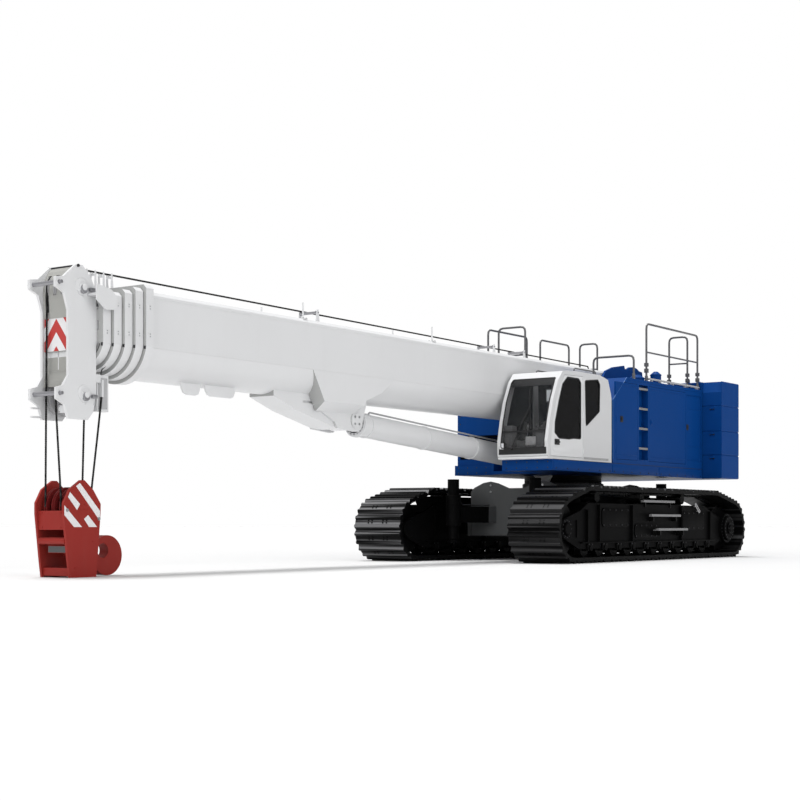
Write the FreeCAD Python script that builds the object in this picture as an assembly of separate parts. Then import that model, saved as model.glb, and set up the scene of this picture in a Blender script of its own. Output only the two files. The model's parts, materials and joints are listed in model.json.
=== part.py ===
"""A telescopic crawler crane, parked with its boom level and its hook block on the ground.

Millimetres. +X is forward along the boom, +Y is the cab's side, +Z is up.
The origin is on the slewing axis at ground level.
Each node is one file in parts/.
"""

import FreeCAD, Part
import math
import os

V = FreeCAD.Vector
os.makedirs("parts", exist_ok=True)

# Crawlers
TRACK_Y = 1620          # middle plane of each crawler
SHOE_WIDTH = 1000
TRACK_HALF_LENGTH = 4005
TRACK_TOP = 1350        # outside of the shoes on the carried run
SHOE_DEPTH = 70         # pad and link thickness between bars
BAR_DEPTH = 26          # how far the bars of a shoe stand out of its pad
SHOE_COUNT = 54
END_RADIUS = 590        # outside of the bars round an end wheel
END_X = TRACK_HALF_LENGTH - END_RADIUS
TOP_FRONT_X = 2860      # where the carried run starts to slope down, at the front and rear
TOP_REAR_X = -2600
ROLLER_RADIUS = 150
ROLLER_COUNT = 10
ROLLER_PITCH = 560
CARRIER_RADIUS = 95
WHEEL_WIDTH = 380
FRAME_HALF_WIDTH = 290
SKIRT_THICK = 34
AXLE_X = 1500           # middle of the front and rear axle housings
AXLE_HOUSING = (1240, 1760, 450, 1010)   # x low, x high, z low, z high
HOUSING_HALF_WIDTH = 1090
HOUSING_WALL = 24
BEAM_CLEARANCE = 6

# Carbody, slewing ring and jacks
RING_RADIUS = 750
RING_LOW, RING_SPLIT, RING_TOP = 1445, 1525, 1610
JACK_X, JACK_Y = 2600, 870
JACK_RADIUS = 95

# Upper frame
PLATE_IN, PLATE_OUT = 520, 565            # the two side plates, from the middle plane
DECK_LOW, DECK_TOP = 1610, 1800
SIDE_Y = 1580                             # outer side of cab, decks and houses
DECK_FRONT_LEFT, DECK_FRONT_RIGHT = 3240, 1450
HOUSE_FRONT, HOUSE_REAR, HOUSE_TOP = 960, -3040, 3430
HOUSE_WALL = 40
CAB_REAR = 1020
CAB_WALL = 45

# Counterweight
CW_FRONT, CW_REAR, CW_HALF_WIDTH = -3065, -3955, 2000
CW_JOINTS = [1610, 2090, 2580, 3100, 3600]   # heights of the slab faces
CW_EDGE = 14                                 # chamfer along each slab's edges

# Boom
FOOT = (-1900, 3350)          # x, z of the foot pin
BOOM_HALF = 480
BOOM_TOP, BOOM_CREASE, BOOM_BOTTOM = 3710, 2970, 2580
BOOM_STEP = 45                # each section is this much smaller on every side
BOOM_WALL = 14
COLLAR_RISE = 70
COLLAR_FRONT = 12110          # front face of the base section's collar
COLLAR_PITCH = 147
COLLAR_GAP = 10
SECTION_REARS = [-1350, -1250, -1150, -1050, -950, -850]
LIFT_FOOT = (1300, 1875)      # x, z of the lift cylinder's lower pin
LIFT_EYE = (7180, 2295)       # x, z of its upper pin
LIFT_RADIUS = 190
ROD_RADIUS = 130

# Head and hook block
UPPER_AXLE, LOWER_AXLE = (12950, 3640), (12910, 2290)    # x, z
UPPER_SHEAVE, LOWER_SHEAVE = 230, 250                     # rim radii
HEAD_PLATE = (215, 255)
SHEAVE_YS = (-140, 0, 140)
HOOK_AXLE = (12955, 890)     # x, z
CHEEK = (235, 270)


def box(x0, x1, y0, y1, z0, z1):
    """A block between two corners."""
    return Part.makeBox(x1 - x0, y1 - y0, z1 - z0, V(x0, y0, z0))


def prism_y(points, y0, y1):
    """An outline of x, z points, from y0 to y1."""
    wire = Part.makePolygon([V(x, y0, z) for x, z in points + points[:1]])
    return Part.Face(wire).extrude(V(0, y1 - y0, 0))


def prism_x(points, x0, x1):
    """An outline of y, z points, from x0 to x1."""
    wire = Part.makePolygon([V(x0, y, z) for y, z in points + points[:1]])
    return Part.Face(wire).extrude(V(x1 - x0, 0, 0))


def prism_z(points, z0, z1):
    """An outline of x, y points, from z0 to z1."""
    wire = Part.makePolygon([V(x, y, z0) for x, y in points + points[:1]])
    return Part.Face(wire).extrude(V(0, 0, z1 - z0))


def rod_y(x, z, radius, y0, y1):
    return Part.makeCylinder(radius, y1 - y0, V(x, y0, z), V(0, 1, 0))


def rod_z(x, y, radius, z0, z1):
    return Part.makeCylinder(radius, z1 - z0, V(x, y, z0), V(0, 0, 1))


def rod_between(start, end, radius):
    """A round bar between two points."""
    a, b = V(*start), V(*end)
    return Part.makeCylinder(radius, (b - a).Length, a, b - a)


def turned(profile, x, z):
    """A wheel on a Y axle at x, z, turned from an outline of y, radius points."""
    wire = Part.makePolygon([V(x, y, z + radius) for y, radius in profile + profile[:1]])
    return Part.Face(wire).revolve(V(x, 0, z), V(0, 1, 0), 360)


def fused(*pieces):
    """One shape from pieces that touch or overlap."""
    return pieces[0].multiFuse(list(pieces[1:])).removeSplitter() if len(pieces) > 1 else pieces[0]


def mirrored(shape):
    """The same on the other side of the boom's middle plane."""
    return shape.mirror(V(0, 0, 0), V(0, 1, 0))


def save(node, *solids):
    """Write a node's solids to its file."""
    flat = [s for shape in solids for s in shape.Solids]
    shape = flat[0] if len(flat) == 1 else Part.makeCompound(flat)
    shape.exportStep(f"parts/{node}.step")


def inset(points, amount):
    """A closed outline moved inwards. The outline runs clockwise or anticlockwise."""
    face = Part.Face(Part.makePolygon([V(x, 0, z) for x, z in points + points[:1]]))
    wire = face.makeOffset2D(-amount, 2).OuterWire
    return [(v.Point.x, v.Point.z) for v in wire.OrderedVertexes]


def bent_tube(points, radius, bend):
    """A tube along points, each inner corner rounded in mitred steps that start bend before it."""
    pts = [V(*p) for p in points]
    line = [pts[0]]
    for before, corner, after in zip(pts, pts[1:], pts[2:]):
        start = (before - corner).normalize() * bend
        end = (after - corner).normalize() * bend
        line += [corner + start * (1 - t) ** 2 + end * t ** 2 for t in (0, 1 / 3, 2 / 3, 1)]
    line.append(pts[-1])
    ring = Part.Wire([Part.Circle(line[0], line[1] - line[0], radius).toShape()])
    return Part.makePolygon(line).makePipeShell([ring], True, False, 1)


# Crawlers


def track_path():
    """The bars' outer line round a crawler: a closed list of x, z, heading in steps of one length."""
    front, rear = (END_X, END_RADIUS), (-END_X, END_RADIUS)

    def tangent_angle(centre, corner):
        """Where the line from an end wheel to a corner of the carried run leaves the wheel."""
        dx, dz = corner[0] - centre[0], corner[1] - centre[1]
        reach = math.hypot(dx, dz)
        return math.atan2(dz, dx), math.acos(END_RADIUS / reach)

    base, half = tangent_angle(front, (TOP_FRONT_X, TRACK_TOP))
    front_top = base - half
    base, half = tangent_angle(rear, (TOP_REAR_X, TRACK_TOP))
    rear_top = base + half
    points = [(rear[0], 0.0), (front[0], 0.0)]
    points += arc_points(front, END_RADIUS, -math.pi / 2, front_top, 40)
    points += [(TOP_FRONT_X, TRACK_TOP), (TOP_REAR_X, TRACK_TOP)]
    points += arc_points(rear, END_RADIUS, rear_top, 1.5 * math.pi, 40)
    return points


def arc_points(centre, radius, start, end, count):
    step = (end - start) / count
    angles = [start + step * i for i in range(count + 1)]
    return [(centre[0] + radius * math.cos(a), centre[1] + radius * math.sin(a)) for a in angles]


def walk(points, distance):
    """The point and heading at a distance along a closed line."""
    for (x0, z0), (x1, z1) in zip(points, points[1:] + points[:1]):
        length = math.hypot(x1 - x0, z1 - z0)
        if length and distance <= length:
            t = distance / length
            return x0 + (x1 - x0) * t, z0 + (z1 - z0) * t, (x1 - x0) / length, (z1 - z0) / length
        distance -= length
    return walk(points, 0.001)


def track(side):
    """One closed loop of shoes, each a pad with two bars."""
    line = track_path()
    total = sum(math.dist(a, b) for a, b in zip(line, line[1:] + line[:1]))
    pitch = total / SHOE_COUNT
    # Along one shoe, from 0 to 1: depth below the bars' outer line
    shoe = [(0.03, SHOE_DEPTH * 0.75), (0.09, BAR_DEPTH), (0.16, 0), (0.27, 0), (0.33, BAR_DEPTH),
            (0.62, BAR_DEPTH), (0.68, 0), (0.79, 0), (0.86, BAR_DEPTH), (0.97, SHOE_DEPTH * 0.75)]
    outer, inner = [], []
    for i in range(SHOE_COUNT):
        for part, depth in shoe:
            x, z, ux, uz = walk(line, pitch * (i + part))
            outer.append((x - uz * depth, z + ux * depth))
        for part in (0.25, 0.75):
            x, z, ux, uz = walk(line, pitch * (i + part))
            inner.append((x - uz * (BAR_DEPTH + SHOE_DEPTH), z + ux * (BAR_DEPTH + SHOE_DEPTH)))
    low, high = side * TRACK_Y - SHOE_WIDTH / 2, side * TRACK_Y + SHOE_WIDTH / 2
    return prism_y(outer, low, high).cut(prism_y(inner, low - 1, high + 1))


BEAM_TOP = 1040
BEAM_WALL = 30
# Side outlines of the box beam and of its skirts, x and z
BEAM_OUTLINE = [(-2860, 520), (-2700, 425), (2700, 425), (2860, 520), (2860, 900), (2560, BEAM_TOP), (-2400, BEAM_TOP),
                (-2860, 880)]
SKIRT_OUTLINE = [(-2900, 240), (2900, 240), (3420, 420), (3640, 520), (3640, 660), (3420, 760), (2860, 900),
                 (2560, BEAM_TOP), (-2400, BEAM_TOP), (-2860, 880), (-3420, 760), (-3640, 660), (-3640, 520), (-3420, 420)]


def side_frame(side):
    """A box beam between the end wheels, with skirts beside the rollers and a fork at each end."""
    middle = side * TRACK_Y
    low, high = middle - FRAME_HALF_WIDTH, middle + FRAME_HALF_WIDTH
    beam = prism_y(BEAM_OUTLINE, low, high)
    beam = beam.cut(prism_y(inset(BEAM_OUTLINE, BEAM_WALL), low + BEAM_WALL, high - BEAM_WALL))
    skirts = [prism_y(SKIRT_OUTLINE, low, low + SKIRT_THICK), prism_y(SKIRT_OUTLINE, high - SKIRT_THICK, high)]
    return fused(beam, *skirts)


TOOTH_DEPTH = 60
TOOTH_HALF_WIDTH = 150
IDLER_GROOVE = (60, 50)      # half width, depth
END_AXLE = 90


def end_wheel(side, x, teeth):
    """An idler, or a driving wheel with teeth, on an axle that ends at the frame's skirts."""
    middle = side * TRACK_Y
    inside = END_RADIUS - BAR_DEPTH - SHOE_DEPTH
    centre_z = END_RADIUS
    rim = inside - 8
    if teeth:
        points = []
        for i in range(teeth):
            for part, radius in ((0.0, rim - TOOTH_DEPTH), (0.3, rim - TOOTH_DEPTH), (0.45, rim), (0.8, rim)):
                angle = 2 * math.pi * (i + part) / teeth
                points.append((x + radius * math.cos(angle), centre_z + radius * math.sin(angle)))
        wheel = prism_y(points, middle - TOOTH_HALF_WIDTH, middle + TOOTH_HALF_WIDTH)
    else:
        half, depth = IDLER_GROOVE
        wheel = rod_y(x, centre_z, rim, middle - WHEEL_WIDTH / 2, middle + WHEEL_WIDTH / 2)
        groove = rod_y(x, centre_z, rim, middle - half, middle + half)
        wheel = wheel.cut(groove.cut(rod_y(x, centre_z, rim - depth, middle - half, middle + half)))
    axle = rod_y(x, centre_z, END_AXLE, middle - FRAME_HALF_WIDTH + SKIRT_THICK, middle + FRAME_HALF_WIDTH - SKIRT_THICK)
    return fused(wheel, axle)


GEAR_CASE = [(300, 60), (250, 110), (120, 140)]    # radius and reach of each step
MOTOR = [(210, 60), (130, 190)]


def final_drive(side):
    """The drive's gear case outside the frame's outer skirt, and its motor on the inside."""
    middle = side * TRACK_Y
    outside = middle + side * FRAME_HALF_WIDTH
    inside = middle - side * FRAME_HALF_WIDTH

    def disc(radius, start, end):
        return rod_y(-END_X, END_RADIUS, radius, min(start, end), max(start, end))

    case = fused(*[disc(radius, outside, outside + side * reach) for radius, reach in GEAR_CASE])
    motor = fused(*[disc(radius, inside, inside - side * reach) for radius, reach in MOTOR])
    return case, motor


ROLLER_NECK = (70, 45)        # half width, depth
ROLLER_AXLE = 50
CARRIER_XS = (-1650, 150, 1950)
CARRIER_HALF_WIDTH = 150
CARRIER_FOOT = (70, 30)       # half length, half width


def rollers(side):
    """Track rollers under the frame and carrier rollers over it, each on its axle."""
    middle = side * TRACK_Y
    reach = FRAME_HALF_WIDTH - SKIRT_THICK
    pieces = []
    ground_run = BAR_DEPTH + SHOE_DEPTH
    for i in range(ROLLER_COUNT):
        x = (i - (ROLLER_COUNT - 1) / 2) * ROLLER_PITCH
        z = ground_run + ROLLER_RADIUS + 1
        body = rod_y(x, z, ROLLER_RADIUS, middle - WHEEL_WIDTH / 2, middle + WHEEL_WIDTH / 2)
        half, depth = ROLLER_NECK
        neck = rod_y(x, z, ROLLER_RADIUS, middle - half, middle + half)
        neck = neck.cut(rod_y(x, z, ROLLER_RADIUS - depth, middle - half, middle + half))
        pieces.append(fused(body.cut(neck), rod_y(x, z, ROLLER_AXLE, middle - reach, middle + reach)))
    for x in CARRIER_XS:
        z = TRACK_TOP - ground_run - CARRIER_RADIUS - 1
        roller = rod_y(x, z, CARRIER_RADIUS, middle - CARRIER_HALF_WIDTH, middle + CARRIER_HALF_WIDTH)
        length, width = CARRIER_FOOT
        foot = box(x - length, x + length, middle - width, middle + width, BEAM_TOP, z)
        pieces.append(fused(roller, foot))
    return pieces


def axle_beams(side):
    """The two beams that carry a side frame and slide in the carbody's housings."""
    pieces = []
    x0, x1, z0, z1 = AXLE_HOUSING
    wall = HOUSING_WALL + BEAM_CLEARANCE
    middle = (x0 + x1) / 2
    half_web = HOUSING_WALL / 2 + BEAM_CLEARANCE
    inner = side * (TRACK_Y - FRAME_HALF_WIDTH)
    for end in (1, -1):
        low, high = (middle + half_web, x1 - wall) if side * end > 0 else (x0 + wall, middle - half_web)
        xs = (low, high) if end > 0 else (-high, -low)
        ys = sorted((inner, -side * (HOUSING_HALF_WIDTH - 60)))
        pieces.append(box(xs[0], xs[1], ys[0], ys[1], z0 + wall, z1 - wall))
    return pieces


# Boarding steps on each frame's outer side: x low, x high, z, outer edge from the track's middle
STEPS = [(-910, 450, 1100, 340), (-1030, 250, 835, 410), (-1200, 100, 570, 480)]
STEP_DEPTH, STEP_HALF_HEIGHT = 60, 20
BRACKET_WIDTH, BRACKET_DROP, BRACKET_INSET = 40, 110, 120


def track_steps(side):
    """Three steps, one bar each, on brackets from the frame's outer face."""
    face = side * (TRACK_Y + FRAME_HALF_WIDTH)
    pieces = []
    for x0, x1, z, reach in STEPS:
        outer = side * (TRACK_Y + reach)
        inner = outer - side * STEP_DEPTH
        tread = box(x0, x1, *sorted((inner, outer)), z - STEP_HALF_HEIGHT, z + STEP_HALF_HEIGHT)
        brackets = [box(x, x + BRACKET_WIDTH, *sorted((face, outer - side * STEP_DEPTH / 2)), z - BRACKET_DROP, z)
                    for x in (x0 + BRACKET_INSET, x1 - BRACKET_INSET - BRACKET_WIDTH)]
        pieces.append(fused(tread, *brackets))
    return pieces


for name, side in (("left", 1), ("right", -1)):
    save(f"track_{name}", track(side))
    save(f"side_frame_{name}", side_frame(side))
    save(f"idler_{name}", end_wheel(side, END_X, 0))
    save(f"sprocket_{name}", end_wheel(side, -END_X, 12))
    save(f"final_drive_{name}", *final_drive(side))
    save(f"rollers_{name}", *rollers(side))
    save(f"axle_beams_{name}", *axle_beams(side))
    save(f"track_steps_{name}", *track_steps(side))


# Carbody


BODY_LOW, BODY_TOP = 520, 1330
BODY_HALVES = (760, 960)               # half width beside the housings, and in the middle
BODY_WAIST = 700                       # x where the middle's full width begins
BODY_WALL = 40
SEAT_RADIUS = RING_RADIUS + 40
SEAT_FLARE, SEAT_FLARE_HEIGHT = 140, 120
RING_BORE = 560
ARM_YS = (420, 900)                    # where a jack arm leaves its housing
ARM_LOW, ARM_TOP = 700, 1000
ARM_TIP = (60, 110)                    # how far short of the jack's axis it ends, half width there
SLEEVE_LOW, SLEEVE_TOP, SLEEVE_WALL = 640, 1180, 45


def carbody():
    """The middle box with the ring seat, two hollow axle housings and four jack arms."""
    x0, x1, z0, z1 = AXLE_HOUSING
    narrow, wide = BODY_HALVES
    middle = prism_z([(x0, -narrow), (x0, narrow), (BODY_WAIST, wide), (-BODY_WAIST, wide), (-x0, narrow), (-x0, -narrow),
                      (-BODY_WAIST, -wide), (BODY_WAIST, -wide)], BODY_LOW, BODY_TOP)
    seat = rod_z(0, 0, SEAT_RADIUS, BODY_TOP, RING_LOW)
    cone = Part.makeCone(SEAT_RADIUS + SEAT_FLARE, SEAT_RADIUS, SEAT_FLARE_HEIGHT,
                         V(0, 0, BODY_TOP - SEAT_FLARE_HEIGHT), V(0, 0, 1))
    pieces = [middle, seat, cone]
    for end in (1, -1):
        xs = sorted((end * x0, end * x1))
        pieces.append(box(*xs, -HOUSING_HALF_WIDTH, HOUSING_HALF_WIDTH, z0, z1))
        for side in (1, -1):
            short, half = ARM_TIP
            arm = [(end * x1, side * ARM_YS[0]), (end * x1, side * ARM_YS[1]),
                   (end * (JACK_X - short), side * (JACK_Y + half)), (end * (JACK_X - short), side * (JACK_Y - half))]
            if end * side < 0:
                arm.reverse()
            pieces.append(prism_z(arm, ARM_LOW, ARM_TOP))
            pieces.append(rod_z(end * JACK_X, side * JACK_Y, JACK_RADIUS + SLEEVE_WALL, SLEEVE_LOW, SLEEVE_TOP))
    body = fused(*pieces)
    holes = []
    w = HOUSING_WALL
    mid = (x0 + x1) / 2
    for end in (1, -1):
        for low, high in ((x0 + w, mid - w / 2), (mid + w / 2, x1 - w)):
            xs = sorted((end * low, end * high))
            holes.append(box(*xs, -HOUSING_HALF_WIDTH - 1, HOUSING_HALF_WIDTH + 1, z0 + w, z1 - w))
        for side in (1, -1):
            holes.append(rod_z(end * JACK_X, side * JACK_Y, JACK_RADIUS, SLEEVE_LOW - 1, SLEEVE_TOP + 1))
    room = narrow - 2 * BODY_WALL
    holes.append(box(-x0 + BODY_WALL, x0 - BODY_WALL, -room, room, BODY_LOW + BODY_WALL, BODY_TOP - BODY_WALL))
    holes.append(rod_z(0, 0, RING_BORE, BODY_TOP - 2 * BODY_WALL, RING_LOW + 1))
    return body.cut(Part.makeCompound(holes))


JACK_LOW, JACK_TOP, JACK_CAP_LOW, JACK_CAP_TOP = 400, 1480, 1200, 1500
JACK_CAP = 12                          # how much wider the cap is than its tube
JACK_FOOT = (120, 70, 330)             # radius at the ground, height, lower edge


def jacks():
    """Four jack posts, each with a cap and a foot."""
    spread, height, low = JACK_FOOT
    pieces = []
    for x in (JACK_X, -JACK_X):
        for y in (JACK_Y, -JACK_Y):
            tube = rod_z(x, y, JACK_RADIUS, JACK_LOW, JACK_TOP)
            cap = rod_z(x, y, JACK_RADIUS + JACK_CAP, JACK_CAP_LOW, JACK_CAP_TOP)
            foot = Part.makeCone(spread, height, height, V(x, y, low), V(0, 0, 1))
            pieces.append(fused(tube, cap, foot))
    return pieces


save("carbody", carbody())
save("carbody_jacks", *jacks())
save("slew_ring", rod_z(0, 0, RING_RADIUS, RING_LOW, RING_SPLIT - 5).cut(rod_z(0, 0, RING_BORE, RING_LOW - 1, RING_TOP)))


# Upper frame


FRAME_REAR, FRAME_FRONT = -2900, 1750
FLOOR_THICK = 60
# One side plate's outline, x and z: the horn that carries the boom's foot pin, and the low front arm
HORN = [(FRAME_FRONT, 1640), (FRAME_FRONT, 1900), (1450, 2120), (700, 2200), (-100, 3000), (-725, 3700), (-1050, 3800),
        (-1528, 3870), (-1560, 3805), (-1650, 3805), (-1780, 3860), (-1947, 3875), (-2100, 3855), (-2200, 3812),
        (-2340, 3800), (-2620, 2500), (FRAME_REAR, 2200), (FRAME_REAR, 1640)]
HUB_RADIUS = 210
LIFT_BOSS = (150, 300)                  # radius, inner end
LIFT_WEB = (900, 1700, 340, 1800)       # x low, x high, outer side, top
CROSS_MEMBERS = [(FRAME_REAR, 2300), (-900, 2100)]   # rear face and top of each
CROSS_THICK = 40


def turntable():
    """The bottom plate, the two side plates that carry the boom foot, and cross members."""
    plate = box(FRAME_REAR, FRAME_FRONT, -PLATE_OUT, PLATE_OUT, DECK_LOW, DECK_LOW + FLOOR_THICK)
    disc = rod_z(0, 0, RING_RADIUS, RING_SPLIT, DECK_LOW)
    boss_radius, inner = LIFT_BOSS
    x0, x1, outer, top = LIFT_WEB
    left = fused(prism_y(HORN, PLATE_IN, PLATE_OUT), rod_y(*FOOT, HUB_RADIUS, PLATE_IN, PLATE_OUT),
                 rod_y(*LIFT_FOOT, boss_radius, inner, PLATE_IN), box(x0, x1, inner, outer, DECK_LOW + 50, top))
    crosses = [box(x, x + CROSS_THICK, -PLATE_IN, PLATE_IN, DECK_LOW + 50, high) for x, high in CROSS_MEMBERS]
    return fused(plate, disc, left, mirrored(left), *crosses)


def pin(x, z, radius, reach):
    return rod_y(x, z, radius, -reach, reach)


def deck(side, front):
    """A deck box beside the turntable plate."""
    ys = sorted((side * PLATE_OUT, side * SIDE_Y))
    return box(HOUSE_REAR, front, *ys, DECK_LOW, DECK_TOP)


PIN_RADIUS, LIFT_PIN = 100, 70
PIN_FIT = 0.08
THROUGH = 700        # half length of a drill that passes through both side plates
frame_holes = Part.makeCompound([rod_y(*FOOT, PIN_RADIUS, -THROUGH, THROUGH), rod_y(*LIFT_FOOT, LIFT_PIN, -THROUGH, THROUGH)])
save("turntable_frame", turntable().cut(frame_holes))
save("boom_foot_pin", pin(*FOOT, PIN_RADIUS, PLATE_OUT))
save("lift_foot_pin", pin(*LIFT_FOOT, LIFT_PIN, PLATE_OUT))
save("deck_left", deck(1, DECK_FRONT_LEFT))
save("deck_right", deck(-1, DECK_FRONT_RIGHT))

# Cab side outline, x and z, from the sill up the windscreen and over the roof
CAB_SIDE = [(CAB_REAR, DECK_TOP), (3330, DECK_TOP), (3400, 1860), (3410, 2120), (3330, 2470), (3220, 2820),
            (3040, 3180), (2865, 3350), (2430, 3385), (1480, 3385), (1160, 3320), (1040, 3060), (CAB_REAR, 2980)]


DOOR_REAR, DOOR_SILL = 2130, 1850
CAB_IN = PLATE_OUT + 5
DOOR_GAP = 6


def door_outline(margin):
    """The left door's side outline: it follows the windscreen's edge 90 behind it."""
    front = [(3300 - margin, DOOR_SILL + margin), (3310 - margin, 2120), (3232 - margin, 2450), (3125 - margin, 2790),
             (2960 - margin, 3120), (2810 - margin, 3290 - margin)]
    return [(DOOR_REAR + margin, DOOR_SILL + margin)] + front + [(DOOR_REAR + margin, 3310 - margin)]


# Window outlines on the cab's side, x and z
DOOR_WINDOW = [(2210, 2190), (2480, 2190), (2640, 2170), (3000, 2170), (3160, 2260), (3150, 2440), (3010, 2830),
               (2880, 3120), (2700, 3255), (2290, 3255), (2210, 3190)]
REAR_WINDOW = [(1500, 2720), (2020, 2420), (2050, 3240), (1560, 3290), (1480, 3210)]


# Openings for the windscreen, the roof window and the rear window, and how far each stays from the cab's sides
SCREEN_X, SCREEN_Z, SCREEN_EDGE = (2900, 3500), (1990, 3230), 70
ROOF_X, ROOF_Z, ROOF_EDGE = (1500, 2400), (3300, 3420), 160
BACK_Z, BACK_EDGE = (2350, 2950), 130
PANE = (15, 27)      # depth of a pane's outer and inner face


def cab_shell():
    """The cab's walls, floor and roof, with its windows and its door opening cut."""
    body = prism_y(CAB_SIDE, CAB_IN, SIDE_Y)
    hollow = prism_y(inset(CAB_SIDE, CAB_WALL), CAB_IN + CAB_WALL, SIDE_Y - CAB_WALL)
    screen = box(*SCREEN_X, CAB_IN + SCREEN_EDGE, SIDE_Y - SCREEN_EDGE, *SCREEN_Z)
    roof = box(*ROOF_X, CAB_IN + ROOF_EDGE, SIDE_Y - ROOF_EDGE, *ROOF_Z)
    back = box(CAB_REAR - 1, CAB_REAR + 2 * CAB_WALL, CAB_IN + BACK_EDGE, SIDE_Y - BACK_EDGE, *BACK_Z)
    right = prism_y(REAR_WINDOW, CAB_IN - 1, CAB_IN + CAB_WALL + 1)
    right_front = prism_y(DOOR_WINDOW, CAB_IN - 1, CAB_IN + CAB_WALL + 1)
    left = prism_y(REAR_WINDOW, SIDE_Y - CAB_WALL - 1, SIDE_Y + 1)
    doorway = prism_y(door_outline(0), SIDE_Y - CAB_WALL - 1, SIDE_Y + 1)
    return body.cut(Part.makeCompound([hollow, screen, roof, back, right, right_front, left, doorway]))


def cab_door():
    panel = prism_y(door_outline(DOOR_GAP), SIDE_Y - CAB_WALL, SIDE_Y)
    return panel.cut(prism_y(DOOR_WINDOW, SIDE_Y - CAB_WALL - 1, SIDE_Y + 1))


SEAT_HALF = 250
CUSHION = (2180, 2320)
BACKREST = [(1740, CUSHION[1]), (1880, CUSHION[1]), (1760, 3010), (1640, 3010)]
ARM_X, ARM_Z, ARM_OUT = (1800, 2420), (2200, 2470), 390


def seat():
    """The driver's seat on its pedestal, with an arm console each side."""
    middle = (CAB_IN + SIDE_Y) / 2
    floor = DECK_TOP + CAB_WALL
    pedestal = box(1750, 2150, middle - 200, middle + 200, floor, CUSHION[0])
    cushion = box(1720, 2280, middle - SEAT_HALF, middle + SEAT_HALF, *CUSHION)
    back = prism_y(BACKREST, middle - SEAT_HALF + 10, middle + SEAT_HALF - 10)
    arms = [box(*ARM_X, *sorted((middle + side * SEAT_HALF, middle + side * ARM_OUT)), *ARM_Z) for side in (1, -1)]
    return fused(pedestal, cushion, back, *arms)


def glass_panes():
    """The cab's fixed panes, each set in the thickness of its wall."""
    out, deep = PANE
    edge = SCREEN_EDGE
    skin = prism_y(inset(CAB_SIDE, out), CAB_IN + edge, SIDE_Y - edge)
    skin = skin.cut(prism_y(inset(CAB_SIDE, deep), CAB_IN + edge - 1, SIDE_Y - edge + 1))
    screen = skin.common(box(*SCREEN_X, CAB_IN, SIDE_Y, *SCREEN_Z))
    roof = skin.common(box(*ROOF_X, CAB_IN + ROOF_EDGE, SIDE_Y - ROOF_EDGE, *ROOF_Z))
    back = box(CAB_REAR + out, CAB_REAR + deep, CAB_IN + BACK_EDGE, SIDE_Y - BACK_EDGE, *BACK_Z)
    left = prism_y(REAR_WINDOW, SIDE_Y - deep, SIDE_Y - out)
    right = prism_y(REAR_WINDOW, CAB_IN + out, CAB_IN + deep)
    right_front = prism_y(DOOR_WINDOW, CAB_IN + out, CAB_IN + deep)
    return screen, roof, back, left, right, right_front


save("cab_shell", cab_shell())
save("cab_door", cab_door())
save("cab_door_glass", prism_y(DOOR_WINDOW, SIDE_Y - PANE[1], SIDE_Y - PANE[0]))
save("cab_glass", *glass_panes())
save("cab_seat", seat())

# Houses
HOUSE_CHAMFER = (386, 2970)      # x where the roof starts, z where the front face ends
# Side doors on the left house: name, x low, x high
HOUSE_DOORS = [("house_door_front", -60, 840), ("house_door_rear", -2230, -560)]
HOUSE_DOOR_LOW, HOUSE_DOOR_HIGH = 1880, 3330
FIXED_PANEL = (-2980, -2270, 1960, 3290, 12)   # x low, x high, z low, z high, depth of the rear panel's field


LADDER_RECESS = (-510, -120, 130)         # x low, x high, depth
LADDER_RUNGS = [2100, 2480, 2860, 3240]
LADDER_LOW, LADDER_HIGH, LADDER_LINING = 1900, 3330, 20
RUNG_Y, RUNG_THICK = (45, 5), 32
PLATE_GAP = 5                             # between a house and the turntable's side plate
RIGHT_FRONT = 1350
COOLER_REAR, COOLER_LOW, COOLER_TOP, COOLER_EDGE = 900, DECK_TOP + 120, 2380, 60
COOLER_LINING = 40


def house_outline(front):
    return [(HOUSE_REAR, DECK_TOP), (front, DECK_TOP), (front, HOUSE_CHAMFER[1]),
            (front - (HOUSE_FRONT - HOUSE_CHAMFER[0]), HOUSE_TOP), (HOUSE_REAR, HOUSE_TOP)]


def house_left():
    """The engine house: hollow, with two side door openings and a recess for the ladder."""
    outline = house_outline(HOUSE_FRONT)
    inner = PLATE_OUT + PLATE_GAP
    body = prism_y(outline, inner, SIDE_Y)
    hollow = prism_y(inset(outline, HOUSE_WALL), inner + HOUSE_WALL, SIDE_Y - HOUSE_WALL)
    openings = [box(x0, x1, SIDE_Y - HOUSE_WALL - 1, SIDE_Y + 1, HOUSE_DOOR_LOW, HOUSE_DOOR_HIGH)
                for _, x0, x1 in HOUSE_DOORS]
    px0, px1, pz0, pz1, field = FIXED_PANEL
    openings.append(box(px0, px1, SIDE_Y - field, SIDE_Y + 1, pz0, pz1))
    x0, x1, depth = LADDER_RECESS
    t = LADDER_LINING
    lining = box(x0 - t, x1 + t, SIDE_Y - depth - t, SIDE_Y, LADDER_LOW - t, LADDER_HIGH + t)
    recess = box(x0, x1, SIDE_Y - depth, SIDE_Y + 1, LADDER_LOW, LADDER_HIGH)
    shell = fused(body.cut(Part.makeCompound([hollow] + openings)), lining).cut(recess)
    rungs = [box(x0, x1, SIDE_Y - RUNG_Y[0], SIDE_Y - RUNG_Y[1], z, z + RUNG_THICK) for z in LADDER_RUNGS]
    return fused(shell, *rungs)


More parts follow.
